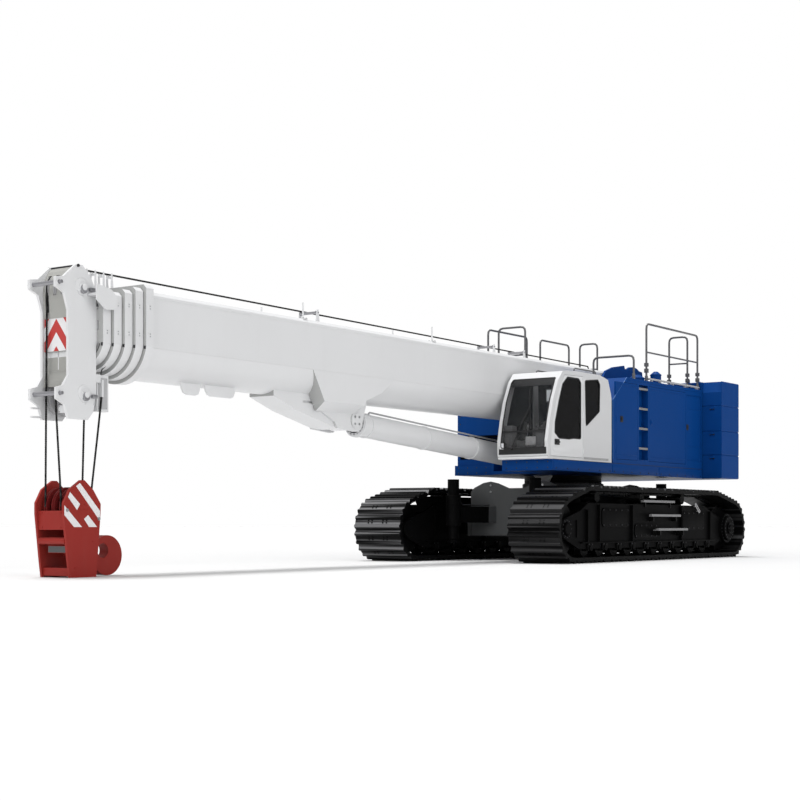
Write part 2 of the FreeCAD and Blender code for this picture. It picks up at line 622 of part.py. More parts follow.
def house_right():
    """The tank and cooler house: closed, with a recess under its front."""
    outline = house_outline(RIGHT_FRONT)
    inner = -PLATE_OUT - PLATE_GAP
    body = prism_y(outline, -SIDE_Y, inner)
    hollow = prism_y(inset(outline, HOUSE_WALL), -SIDE_Y + HOUSE_WALL, inner - HOUSE_WALL)
    recess = box(COOLER_REAR, RIGHT_FRONT + 1, -SIDE_Y + COOLER_EDGE, inner + 1, COOLER_LOW, COOLER_TOP)
    t = COOLER_LINING
    lining = box(COOLER_REAR - t, RIGHT_FRONT - 50, -SIDE_Y + HOUSE_WALL, inner - 1, COOLER_LOW - t, COOLER_TOP + t)
    return fused(body.cut(hollow), lining.common(body)).cut(recess)


save("house_left", house_left())
save("house_right", house_right())
for name, x0, x1 in HOUSE_DOORS:
    save(name, box(x0 + DOOR_GAP, x1 - DOOR_GAP, SIDE_Y - HOUSE_WALL, SIDE_Y, HOUSE_DOOR_LOW + DOOR_GAP,
                   HOUSE_DOOR_HIGH - DOOR_GAP))
ENGINE = (-2300, -300, 760, 1380, DECK_TOP + HOUSE_WALL, 2900)
save("engine", box(*ENGINE))

# Counterweight
CW_NOTCH = (1560, 1985, 3377, 110)   # y low, y high, lower edge, depth at the top
CW_LUG_Y, CW_LUG_HALF = 1800, 35
CW_LUG = [(-10, -110), (45, -60), (45, -25), (-10, -25)]    # x from the front face, z from the slab's top
CARRIER_REAR, CARRIER_TOP = FRAME_REAR, 2200


def slab(low, high):
    """One counterweight slab: chamfered, with a lifting lug on each upper front edge."""
    block = box(CW_REAR, CW_FRONT, -CW_HALF_WIDTH, CW_HALF_WIDTH, low, high)
    block = block.makeChamfer(CW_EDGE, [e for e in block.Edges if abs(e.BoundBox.ZLength) < 1])
    if high == CW_JOINTS[-1]:
        y0, y1, z, depth = CW_NOTCH
        notch = prism_y([(CW_FRONT + 1, z), (CW_FRONT + 1, high + 1), (CW_FRONT - depth, high + 1)], y0, y1)
        return block.cut(Part.makeCompound([notch, mirrored(notch)]))
    lug = [(CW_FRONT + x, high + z) for x, z in CW_LUG]
    lugs = [prism_y(lug, y - CW_LUG_HALF, y + CW_LUG_HALF) for y in (-CW_LUG_Y, CW_LUG_Y)]
    return fused(block, *lugs)


for i, (low, high) in enumerate(zip(CW_JOINTS, CW_JOINTS[1:])):
    save(f"counterweight_slab_{i + 1}", slab(low, high))
save("counterweight_carrier", box(CW_FRONT, CARRIER_REAR, -PLATE_OUT, PLATE_OUT, DECK_LOW, CARRIER_TOP))


# Domed posts on the left roof: x, y, radius, height, the dome's height and its flat top's radius
ROOF_POSTS = [(-900, 1150, 150, 110, 60, 60), (-2280, 900, 110, 300, 60, 40)]
VENT_REARS = (-1900, -440)
VENT_LENGTH, VENT_Y, VENT_HEIGHT = 360, (760, 1400), 35


def roof_fittings():
    """The air cleaner, the exhaust outlet and two vents on the left house's roof."""
    posts = [fused(rod_z(x, y, radius, HOUSE_TOP, HOUSE_TOP + height),
                   Part.makeCone(radius, flat, dome, V(x, y, HOUSE_TOP + height), V(0, 0, 1)))
             for x, y, radius, height, dome, flat in ROOF_POSTS]
    vents = [box(x, x + VENT_LENGTH, *VENT_Y, HOUSE_TOP, HOUSE_TOP + VENT_HEIGHT) for x in VENT_REARS]
    return *posts, *vents


save("roof_fittings", *roof_fittings())

# Winches between the side plates, behind the boom foot


WINCH_REACH = 420
WINCH_FLANGE = (90, 25)      # how far it stands out of the drum, thickness
WINCH_END = 60               # how much smaller the drives at a drum's ends are


def winch(x, z, radius):
    """A drum with two flanges, between the turntable's side plates."""
    reach = WINCH_REACH
    rise, thick = WINCH_FLANGE
    drum = rod_y(x, z, radius, -reach, reach)
    flanges = [rod_y(x, z, radius + rise, y, y + thick) for y in (-reach, reach - thick)]
    ends = [rod_y(x, z, radius - WINCH_END, *ys) for ys in ((-PLATE_IN, -reach), (reach, PLATE_IN))]
    return fused(drum, *flanges, *ends)


save("winch_main", winch(-2350, 2230, 230))
save("winch_aux", winch(-1420, 2230, 200))

# Handrails
RAIL = 20
RAIL_TOP, RAIL_MIDDLE, RAIL_LOW_TOP = 4550, 4000, 3890


def rail(start, end, top):
    """A hoop from one foot on a roof to the other."""
    (xa, ya), (xb, yb) = start, end
    foot = HOUSE_TOP
    return bent_tube([(xa, ya, foot), (xa, ya, top), (xb, yb, top), (xb, yb, foot)], RAIL, 100)


def rail_with_middle(start, end, top):
    (xa, ya), (xb, yb) = start, end
    bar = rod_between((xa, ya, RAIL_MIDDLE), (xb, yb, RAIL_MIDDLE), RAIL - 4)
    return fused(rail(start, end, top), bar)


RAIL_REAR, RAIL_OUT, RAIL_RIGHT_FRONT = -2990, 1500, 350
# Feet of the tall hoops on each side: x and y of one, x and y of the other
LEFT_HOOPS = [(-606, RAIL_OUT, RAIL_REAR, RAIL_OUT), (RAIL_REAR, 1277, RAIL_REAR, 868)]
RIGHT_HOOPS = [(RAIL_RIGHT_FRONT, -RAIL_OUT, -1181, -RAIL_OUT), (-1737, -RAIL_OUT, RAIL_REAR, -RAIL_OUT),
               (RAIL_RIGHT_FRONT, -1255, RAIL_RIGHT_FRONT, -649), (RAIL_REAR, -1232, RAIL_REAR, -810)]


def hoops(rows):
    return [rail_with_middle((xa, ya), (xb, yb), RAIL_TOP) for xa, ya, xb, yb in rows]


save("handrails_left", *hoops(LEFT_HOOPS), rail((-60, RAIL_OUT), (-60, 640), RAIL_LOW_TOP))
save("handrails_right", *hoops(RIGHT_HOOPS))


# Boom


def section_size(index):
    """Half width, top, crease and bottom of a section. The base is index 0."""
    cut = BOOM_STEP * index
    return BOOM_HALF - cut, BOOM_TOP - cut, BOOM_CREASE, BOOM_BOTTOM + cut


def section_face(x, half, top, crease, bottom):
    """Flat top and sides over a round bottom."""
    corner = 50
    a, b = V(x, -half, crease), V(x, half, crease)
    edges = [Part.LineSegment(a, V(x, -half, top - corner)).toShape(),
             Part.LineSegment(V(x, -half, top - corner), V(x, -half + corner, top)).toShape(),
             Part.LineSegment(V(x, -half + corner, top), V(x, half - corner, top)).toShape(),
             Part.LineSegment(V(x, half - corner, top), V(x, half, top - corner)).toShape(),
             Part.LineSegment(V(x, half, top - corner), b).toShape(),
             Part.Arc(b, V(x, 0, bottom), a).toShape()]
    return Part.Face(Part.Wire(edges))


def tube(index, x0, x1, rise, wall):
    """A length of box tube, grown by rise and with the given wall."""
    half, top, crease, bottom = section_size(index)
    outer = section_face(x0, half + rise, top + rise, crease, bottom - rise)
    hole = rise - wall
    inner = section_face(x0 - 1, half + hole, top + hole, crease, bottom - hole)
    return outer.extrude(V(x1 - x0, 0, 0)).cut(inner.extrude(V(x1 - x0 + 2, 0, 0)))


PAD_THICK, PAD_LENGTH = 26, 125
PAD_LOW, PAD_HIGH, PAD_ROOF = (20, 170), (260, 120), (230, 110)   # from the crease, the top and the side
TIP_FRONT = 12850


def wear_pads(index, front):
    """Pads inside the front of a section, on which the next section slides."""
    half, top, crease, _ = section_size(index)
    wall_y, wall_z = half - BOOM_WALL, top - BOOM_WALL
    back = front - PAD_LENGTH
    pads = []
    for side in (1, -1):
        ys = sorted((side * wall_y, side * (wall_y - PAD_THICK)))
        pads.append(box(back, front, *ys, crease + PAD_LOW[0], crease + PAD_LOW[1]))
        pads.append(box(back, front, *ys, top - PAD_HIGH[0], top - PAD_HIGH[1]))
        ys = sorted((side * (half - PAD_ROOF[0]), side * (half - PAD_ROOF[1])))
        pads.append(box(back, front, *ys, wall_z - PAD_THICK, wall_z))
    return pads


def boom_section(index):
    """A section's tube with its collar and wear pads at the front."""
    front = COLLAR_FRONT + COLLAR_PITCH * index
    start = SECTION_REARS[index]
    if index == 5:
        return tube(index, start, TIP_FRONT, 0, BOOM_WALL)
    collar = tube(index, front - (COLLAR_PITCH - COLLAR_GAP), front, COLLAR_RISE, COLLAR_RISE + BOOM_WALL)
    return fused(tube(index, start, front, 0, BOOM_WALL), collar, *wear_pads(index, front))


# The lift cylinder's bracket. Ears and spine are outlines of x, z. The fairing, flush with the boom's
# side, is one outline of x, z cut by one of y, z.
EAR = [(6900, 2700), (6900, 2540), (6969, 2371), (7015, 2198), (7100, 2125), (7213, 2118), (7642, 2154), (7726, 2251),
       (8240, 2480), (8240, 2700)]
SPINE = [(7450, 2700), (7450, 2150), (7675, 2167), (8613, 2378), (9143, 2552), (9143, 2700)]
FAIRING_SIDE = [(6451, 2970), (6560, 2880), (6780, 2740), (7190, 2594), (7300, 2300), (8150, 2300),
                (8230, 2480), (8529, 2970)]
FAIRING_END = [(200, 2970), (486, 2970), (486, 2520), (270, 2390), (200, 2390)]
EAR_Y, EAR_THICK, EAR_BOSS, BOSS_RISE = 230, 40, 130, 15
EYE_SLOT = (7990, 8455, 2495, 2530, 30)     # x low, x high, z low, z high, depth
FOOT_LUG = [(FOOT[0], 3180), (-1350, 2960), (-1000, 2960), (-1000, 3640), (-1350, 3640), (FOOT[0], 3520)]
FOOT_LUG_IN, FOOT_LUG_OUT, FOOT_BOSS = 450, 510, 170


def boom_base():
    """The base section, its foot lugs and the lift cylinder's bracket."""
    body = boom_section(0)
    lug = fused(prism_y(FOOT_LUG, FOOT_LUG_IN, FOOT_LUG_OUT), rod_y(*FOOT, FOOT_BOSS, FOOT_LUG_IN, FOOT_LUG_OUT))
    core = section_face(6000, *section_size(0)).extrude(V(3600, 0, 0))
    ear = fused(prism_y(EAR, EAR_Y, EAR_Y + EAR_THICK),
                rod_y(*LIFT_EYE, EAR_BOSS, EAR_Y - BOSS_RISE, EAR_Y + EAR_THICK + BOSS_RISE))
    fairing = prism_y(FAIRING_SIDE, EAR_Y + 10, BOOM_HALF + 100).common(prism_x(FAIRING_END, 6300, 8700))
    x0, x1, z0, z1, depth = EYE_SLOT
    slot = box(x0, x1, EAR_Y - depth, EAR_Y + 1, z0, z1)
    spine = prism_y(SPINE, -EAR_Y, EAR_Y).cut(Part.makeCompound([slot, mirrored(slot)]))
    bracket = fused(ear, mirrored(ear), fairing, mirrored(fairing), spine).cut(core)
    return fused(body, lug, mirrored(lug), bracket).cut(rod_y(*FOOT, PIN_RADIUS + PIN_FIT, -THROUGH, THROUGH))


# The head plate's side outline, x and z, from its lower rear corner round the front
HEAD_OUTLINE = [(12708, 2350), (12760, 2090), (12850, 1990), (13180, 1990), (13240, 2160), (13380, 2230), (13380, 2370),
                (13270, 2400), (13180, 2530), (13180, 3350), (13250, 3560), (13390, 3620), (13390, 3740), (13260, 3760),
                (13060, 3930), (12940, 3940), (12800, 3800), (12708, 3640)]
JIB_PINS = [(13330, 3680), (13320, 2300)]
# Thin guards in front of the sheaves and the wing over the rear collars, x and z
UPPER_GUARD = [(13125, 3265), (13157, 3265), (13172, 3500), (13170, 3640), (13144, 3760), (13086, 3864), (13020, 3930),
               (13008, 3922), (13074, 3856), (13132, 3756), (13158, 3640), (13158, 3500), (13148, 3330)]
LOWER_GUARD = [(13080, 2640), (13102, 2612), (13132, 2566), (13161, 2475), (13164, 2400), (13150, 2400), (13147, 2473),
               (13120, 2560), (13080, 2600)]
GUARD_GAP = 32         # half the gap left for each sheave and rope
SWITCH_BOX = (12410, 12615, 60, 170, 2117, 2584)
SWITCH_ARM = (12600, 12725, 150, 225, 2480, 2584)
ROPE_SOCKET = (12543, 12577, 165, 222, 2302, 2520)
LEAD_GAP = (13149, 13200, 3200)     # x low, x high and z low of the gap for the hoist rope
SHIELD, CHIN = (13100, 13145, 2845, 3285), (13060, 13110, 2600, 2855)    # x low, x high, z low, z high
WING_Y = (425, 445)
WING_FLANGE = (12720, 12860, 3560, 3590)
CAMERA_LUGS = (13180, 13350, 22, (2010, 2120))                      # x low, x high, thickness, each z low
GUARD_BAR = (13025, 3922, 12)                                       # x, z, radius
WELL_GAP, HUB, HUB_RISE, AXLE_RISE, BAR_RISE = 20, 85, 20, 35, 12
WING = [(12876, 3700), (12620, 3650), (12520, 3560), (12500, 3480), (12560, 3400), (12720, 3390), (12876, 3500)]
JIB_PIN_RADIUS, JIB_PIN_REACH, JIB_PIN_MIDDLE = 22, 300, 28    # tip radius, half length, radius between the tips
AXLE_PIN_RADIUS = 60


def boom_tip():
    """The tip section and the head: two side plates, cross members, axles and jib pins."""
    inner, outer = HEAD_PLATE
    plates = [prism_y(HEAD_OUTLINE, y0, y1) for y0, y1 in ((inner, outer), (-outer, -inner))]
    tip = fused(boom_section(5), *plates)
    wells = [rod_y(*UPPER_AXLE, UPPER_SHEAVE + WELL_GAP, -inner, inner),
             rod_y(*LOWER_AXLE, LOWER_SHEAVE + WELL_GAP, -inner, inner)]
    tip = tip.cut(Part.makeCompound(wells))
    fronts = [box(x0, x1, -inner, inner, z0, z1) for x0, x1, z0, z1 in (SHIELD, CHIN)]
    guards = [prism_y(UPPER_GUARD, -inner, inner), prism_y(LOWER_GUARD, -inner, inner)]
    gaps = [rod_y(*UPPER_AXLE, UPPER_SHEAVE + 8, y - GUARD_GAP, y + GUARD_GAP) for y in SHEAVE_YS]
    x0, x1, low = LEAD_GAP
    gaps.append(box(x0, x1, SHEAVE_YS[0] - GUARD_GAP, SHEAVE_YS[0] + GUARD_GAP, low, UPPER_AXLE[1]))
    guards[0] = guards[0].cut(Part.makeCompound(gaps))
    fittings = [box(*SWITCH_BOX), box(*SWITCH_ARM), box(*ROPE_SOCKET)]
    x0, x1, z0, z1 = WING_FLANGE
    wing = fused(prism_y(WING, *WING_Y), box(x0, x1, inner, WING_Y[0] + 5, z0, z1))
    x0, x1, thick, lows = CAMERA_LUGS
    lugs = [box(x0, x1, -outer, -inner, z, z + thick) for z in lows]
    hubs = [rod_y(x, z, HUB, y, y + HUB_RISE) for x, z in (UPPER_AXLE, LOWER_AXLE) for y in (-outer - HUB_RISE, outer)]
    bores = [rod_y(x, z, JIB_PIN_MIDDLE + PIN_FIT, -JIB_PIN_REACH, JIB_PIN_REACH) for x, z in JIB_PINS]
    reach = outer + AXLE_RISE
    axles = [rod_y(x, z, AXLE_PIN_RADIUS, -reach, reach) for x, z in (UPPER_AXLE, LOWER_AXLE)]
    bar = rod_y(*GUARD_BAR, -outer - BAR_RISE, outer + BAR_RISE)
    whole = fused(tip, *fronts, *guards, *fittings, wing, mirrored(wing), *lugs, *hubs, *axles, bar)
    return whole.cut(Part.makeCompound(bores))


GROOVE_DEPTH = 28
ROPE = 12
ROPE_SEAT = 6      # how far a rope's middle lies inside its sheave's rim


def sheave(x, z, y, rim, bore):
    """A rope wheel with a V groove, a thin web and a hub."""
    web, hub = rim - 60, bore + 45
    half = [(5, rim - GROOVE_DEPTH), (17, rim), (25, rim), (25, web), (12, web - 15), (12, hub + 10),
            (30, hub), (30, bore)]
    profile = [(y + dy, radius) for dy, radius in half]
    profile += [(y - dy, radius) for dy, radius in reversed(half)]
    return turned(profile, x, z)


for index, name in ((1, 2), (2, 3), (3, 4), (4, 5)):
    save(f"boom_section_{name}", boom_section(index))
save("boom_base", boom_base())
save("boom_tip", boom_tip())
save("jib_pins", *[fused(rod_y(x, z, JIB_PIN_RADIUS, -JIB_PIN_REACH, JIB_PIN_REACH),
                         rod_y(x, z, JIB_PIN_MIDDLE, -HEAD_PLATE[1], HEAD_PLATE[1])) for x, z in JIB_PINS])
save("head_sheaves", *[sheave(*UPPER_AXLE, y, UPPER_SHEAVE, AXLE_PIN_RADIUS) for y in SHEAVE_YS],
     *[sheave(*LOWER_AXLE, y, LOWER_SHEAVE, AXLE_PIN_RADIUS) for y in SHEAVE_YS])

# Lift cylinder


def along_lift(distance):
    """A point on the cylinder's axis, from its lower pin."""
    (x0, z0), (x1, z1) = LIFT_FOOT, LIFT_EYE
    reach = math.hypot(x1 - x0, z1 - z0)
    return x0 + (x1 - x0) * distance / reach, 0, z0 + (z1 - z0) * distance / reach


LIFT_LENGTH = math.hypot(LIFT_EYE[0] - LIFT_FOOT[0], LIFT_EYE[1] - LIFT_FOOT[1])
BARREL_END = LIFT_LENGTH - 330
BORE_START, ROD_START = 500, 560      # along the axis from the lower pin
BORE_GAP = 6
EYE_RADIUS, BARREL_EYE_HALF, ROD_EYE_HALF = 150, 290, 190


def barrel():
    """The cylinder's barrel: an eye, a tube and the bore for its rod."""
    eye = rod_y(*LIFT_FOOT, EYE_RADIUS, -BARREL_EYE_HALF, BARREL_EYE_HALF)
    body = rod_between(along_lift(EYE_RADIUS - 50), along_lift(BARREL_END), LIFT_RADIUS)
    bore = rod_between(along_lift(BORE_START), along_lift(BARREL_END + 1), ROD_RADIUS + BORE_GAP)
    hole = rod_y(*LIFT_FOOT, LIFT_PIN + PIN_FIT, -THROUGH, THROUGH)
    return fused(eye, body).cut(Part.makeCompound([bore, hole]))


def rod():
    """The piston rod with its eye."""
    eye = rod_y(*LIFT_EYE, EYE_RADIUS, -ROD_EYE_HALF, ROD_EYE_HALF)
    body = rod_between(along_lift(ROD_START), along_lift(LIFT_LENGTH - EYE_RADIUS + 50), ROD_RADIUS)
    return fused(body, eye).cut(rod_y(*LIFT_EYE, LIFT_PIN, -THROUGH, THROUGH))


save("lift_cylinder_barrel", barrel())
save("lift_cylinder_rod", rod())

# Hook block


# A cheek's side outline, x and z
CHEEK_OUTLINE = [(13168, 0), (13200, 224), (13268, 800), (13268, 940), (13168, 1110), (12990, 1225), (12920, 1225),
                 (12770, 1104), (12642, 930), (12645, 800), (12720, 0)]
BLOCK_AXLE = 55
# What joins the cheeks. Bars: x low, x high, z low, z high. Rods: x, z, radius.
BLOCK_BARS = [(12922, 13150, 20, 120), (13207, 13227, 600, 840)]
BLOCK_RODS = [(12760, 560, 60), (13195, 460, 45)]
FRONT_CASE = (13150, 13200, -90, 310, 400)     # x low, x high, y low, z low, z high


def hook_block():
    """Two cheek plates with spacers; the sheaves turn between them."""
    inner, outer = CHEEK
    plate = prism_y(CHEEK_OUTLINE, inner, outer)
    bars = [box(x0, x1, -inner, inner, z0, z1) for x0, x1, z0, z1 in BLOCK_BARS]
    rods = [rod_y(x, z, radius, -inner, inner) for x, z, radius in BLOCK_RODS]
    x0, x1, low, z0, z1 = FRONT_CASE
    return fused(plate, mirrored(plate), *bars, *rods, box(x0, x1, low, inner, z0, z1),
                 rod_y(*HOOK_AXLE, BLOCK_AXLE, -outer, outer))


HOOK_PIN = (12620, 300)      # x, z of the pin the hook tilts on
HOOK_PIN_RADIUS = 40
HOOK_EYE, BOWL_RADIUS, HOOK_HALF = (12340, 268), 260, 80
THROAT, THROAT_RADIUS = (12420, 330), 95
EAR_IN, EAR_OUT, EAR_FRONT = 100, 130, 12820
SHANK_HALF = 60
CROSS_DROP = 34      # the cross bar stops above the bowl's path


def hook_ears():
    """Two ears behind the cheeks that hold the hook's pin."""
    (x, z), half = HOOK_PIN, SHANK_HALF
    ears = [box(x - half, EAR_FRONT, *ys, z - half, z + half) for ys in ((EAR_IN, EAR_OUT), (-EAR_OUT, -EAR_IN))]
    cross = box(EAR_FRONT - half, EAR_FRONT, -CHEEK[0], CHEEK[0], z - CROSS_DROP, z + half)
    return fused(*ears, cross, rod_y(x, z, HOOK_PIN_RADIUS, -EAR_OUT - 10, EAR_OUT + 10))


def hook():
    """The hook, which lies back on the ground behind its block."""
    (x, z), half = HOOK_PIN, HOOK_HALF
    bowl = rod_y(*HOOK_EYE, BOWL_RADIUS, -half, half).cut(rod_y(*THROAT, THROAT_RADIUS, -EAR_IN, EAR_IN))
    eye = rod_y(x, z, HOOK_PIN_RADIUS + 30, -half, half)
    shank = box(HOOK_EYE[0] + BOWL_RADIUS - half, x, 5 - half, half - 5, z - SHANK_HALF, z + SHANK_HALF)
    return fused(bowl, eye, shank).cut(rod_y(x, z, HOOK_PIN_RADIUS + PIN_FIT, -EAR_IN, EAR_IN))


save("hook_block", fused(hook_block(), hook_ears()))
save("hook_sheaves", *[sheave(*HOOK_AXLE, y, LOWER_SHEAVE, BLOCK_AXLE) for y in SHEAVE_YS])
save("hook", hook())


def on_block(side, y):
    """Where a rope meets the front (side 1) or rear (-1) of a block sheave."""
    return HOOK_AXLE[0] + side * (LOWER_SHEAVE - ROPE_SEAT), y, HOOK_AXLE[1]


def on_head(axle, rim, side, y):
    """Where a rope leaves the front or rear of a head sheave."""
    return axle[0] + side * (rim - ROPE_SEAT), y, axle[1]


ROPE_STRAIGHT = 130       # how far a rope runs straight off a sheave before it crosses over
RIGHT, MIDDLE, LEFT = SHEAVE_YS


def crossing(top, low):
    """A rope between sheaves that aren't in one plane."""
    (x0, y0, z0), (x1, y1, z1) = top, low
    return bent_tube([top, (x0, y0, z0 - ROPE_STRAIGHT), (x1, y1, z1 + ROPE_STRAIGHT), low], ROPE, ROPE)


DEAD_END = (12560, 200, LOWER_AXLE[1])     # below the socket at the head
save("rope_falls", crossing(on_head(LOWER_AXLE, LOWER_SHEAVE, 1, MIDDLE), on_block(1, LEFT)),
     rod_between(on_head(LOWER_AXLE, LOWER_SHEAVE, -1, MIDDLE), on_block(-1, MIDDLE), ROPE),
     rod_between(DEAD_END, on_block(-1, LEFT), ROPE))
save("rope_lead", rod_between(on_head(UPPER_AXLE, UPPER_SHEAVE, 1, RIGHT), on_block(1, RIGHT), ROPE))
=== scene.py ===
"""Dresses a telescopic crawler crane: finishes, fittings, ropes, light and camera.

Metres. +X is forward along the boom, +Y is the cab's side, +Z is up. The origin is on the
slewing axis at ground level.
"""

from __future__ import annotations

import json
import logging
import math
from dataclasses import dataclass, field
from enum import Enum
from typing import Iterable, Sequence

import bmesh
import bpy
from mathutils import Matrix, Vector

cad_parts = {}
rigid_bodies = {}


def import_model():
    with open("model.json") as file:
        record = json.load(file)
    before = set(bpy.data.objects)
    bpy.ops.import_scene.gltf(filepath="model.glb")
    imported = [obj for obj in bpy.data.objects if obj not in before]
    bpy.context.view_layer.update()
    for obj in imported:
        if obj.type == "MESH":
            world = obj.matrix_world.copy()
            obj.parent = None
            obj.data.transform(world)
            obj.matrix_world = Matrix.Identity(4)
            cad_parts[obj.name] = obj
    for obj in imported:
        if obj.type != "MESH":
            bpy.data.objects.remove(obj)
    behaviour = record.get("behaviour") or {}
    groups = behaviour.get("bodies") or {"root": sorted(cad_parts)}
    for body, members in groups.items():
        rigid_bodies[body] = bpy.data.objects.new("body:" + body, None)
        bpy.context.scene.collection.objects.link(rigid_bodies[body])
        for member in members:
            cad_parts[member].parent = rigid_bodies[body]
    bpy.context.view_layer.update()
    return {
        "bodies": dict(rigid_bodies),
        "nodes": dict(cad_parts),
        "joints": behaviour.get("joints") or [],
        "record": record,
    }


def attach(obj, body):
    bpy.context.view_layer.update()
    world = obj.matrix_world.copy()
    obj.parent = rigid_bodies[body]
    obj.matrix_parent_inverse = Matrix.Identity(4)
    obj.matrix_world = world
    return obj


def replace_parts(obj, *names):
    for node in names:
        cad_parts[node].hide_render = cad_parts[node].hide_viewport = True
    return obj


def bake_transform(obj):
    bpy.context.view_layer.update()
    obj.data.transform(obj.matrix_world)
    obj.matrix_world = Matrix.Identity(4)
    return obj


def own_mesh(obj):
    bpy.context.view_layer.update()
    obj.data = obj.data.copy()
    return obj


LOG = logging.getLogger("crane")
Point = tuple[float, float, float]
Pair = tuple[float, float]
Colour = tuple[float, float, float]


class Side(Enum):
    """The two sides of the crane; the value is the sign of Y."""

    LEFT = 1
    RIGHT = -1

    @property
    def label(self) -> str:
        """The side's word in node and body names."""
        return self.name.lower()


class Axis(Enum):
    """The main axes, by index."""

    X = 0
    Y = 1
    Z = 2


# Node trees


class Wire:
    """A socket with Python's operators, so that shader sums read as sums."""

    def __init__(self, recipe: "Recipe", socket: bpy.types.NodeSocket) -> None:
        """Wraps one output socket.

        Args:
            recipe: The tree that the socket belongs to.
            socket: The output socket.
        """
        self.recipe = recipe
        self.socket = socket

    def _math(self, operation: str, first: object, second: object = 0.0) -> "Wire":
        """Adds one Math node and returns its result."""
        return self.recipe.wire("ShaderNodeMath", {"operation": operation}, {0: first, 1: second})

    def __add__(self, other: object) -> "Wire":
        """self + other."""
        return self._math("ADD", self, other)

    def __radd__(self, other: object) -> "Wire":
        """other + self."""
        return self._math("ADD", other, self)

    def __sub__(self, other: object) -> "Wire":
        """self - other."""
        return self._math("SUBTRACT", self, other)

    def __rsub__(self, other: object) -> "Wire":
        """other - self."""
        return self._math("SUBTRACT", other, self)

    def __mul__(self, other: object) -> "Wire":
        """self * other."""
        return self._math("MULTIPLY", self, other)

    def __rmul__(self, other: object) -> "Wire":
        """other * self."""
        return self._math("MULTIPLY", other, self)

    def __truediv__(self, other: object) -> "Wire":
        """self / other."""
        return self._math("DIVIDE", self, other)

    def __gt__(self, other: object) -> "Wire":
        """1 where self is greater than other."""
        return self._math("GREATER_THAN", self, other)

    def __lt__(self, other: object) -> "Wire":
        """1 where self is less than other."""
        return self._math("LESS_THAN", self, other)

    def lower_of(self, other: object) -> "Wire":
        """The smaller of two values."""
        return self._math("MINIMUM", self, other)

    def size(self) -> "Wire":
        """The value without its sign."""
        return self._math("ABSOLUTE", self)

    def fraction(self) -> "Wire":
        """The part after the point."""
        return self._math("FRACT", self)

    def ramp(self, low: float, high: float) -> "Wire":
        """0 below low, 1 above high, and smooth between."""
        return self.recipe.wire("ShaderNodeMapRange", {"interpolation_type": "SMOOTHSTEP"},
                                {0: self, 1: low, 2: high, 3: 0.0, 4: 1.0})


class Recipe:
    """A shader or geometry tree that is written node by node."""

    def __init__(self, tree: bpy.types.NodeTree) -> None:
        """Starts on an empty tree."""
        self.tree = tree

    def node(self, kind: str, settings: dict[str, object] | None = None,
             sockets: dict[int | str, object] | None = None) -> bpy.types.Node:
        """Adds one node.

        Args:
            kind: The node's type.
            settings: Its own settings, set first.
            sockets: Values or wires for its inputs, by index or name.

        Returns:
            The new node.
        """
        made = self.tree.nodes.new(kind)
        for name, value in (settings or {}).items():
            setattr(made, name, value)
        for key, value in (sockets or {}).items():
            if isinstance(value, Wire):
                self.tree.links.new(value.socket, made.inputs[key])
            elif value is not None:
                made.inputs[key].default_value = value
        return made

    def wire(self, kind: str, settings: dict[str, object] | None = None,
             sockets: dict[int | str, object] | None = None, output: int | str = 0) -> Wire:
        """Adds one node and returns one of its outputs."""
        return Wire(self, self.node(kind, settings, sockets).outputs[output])


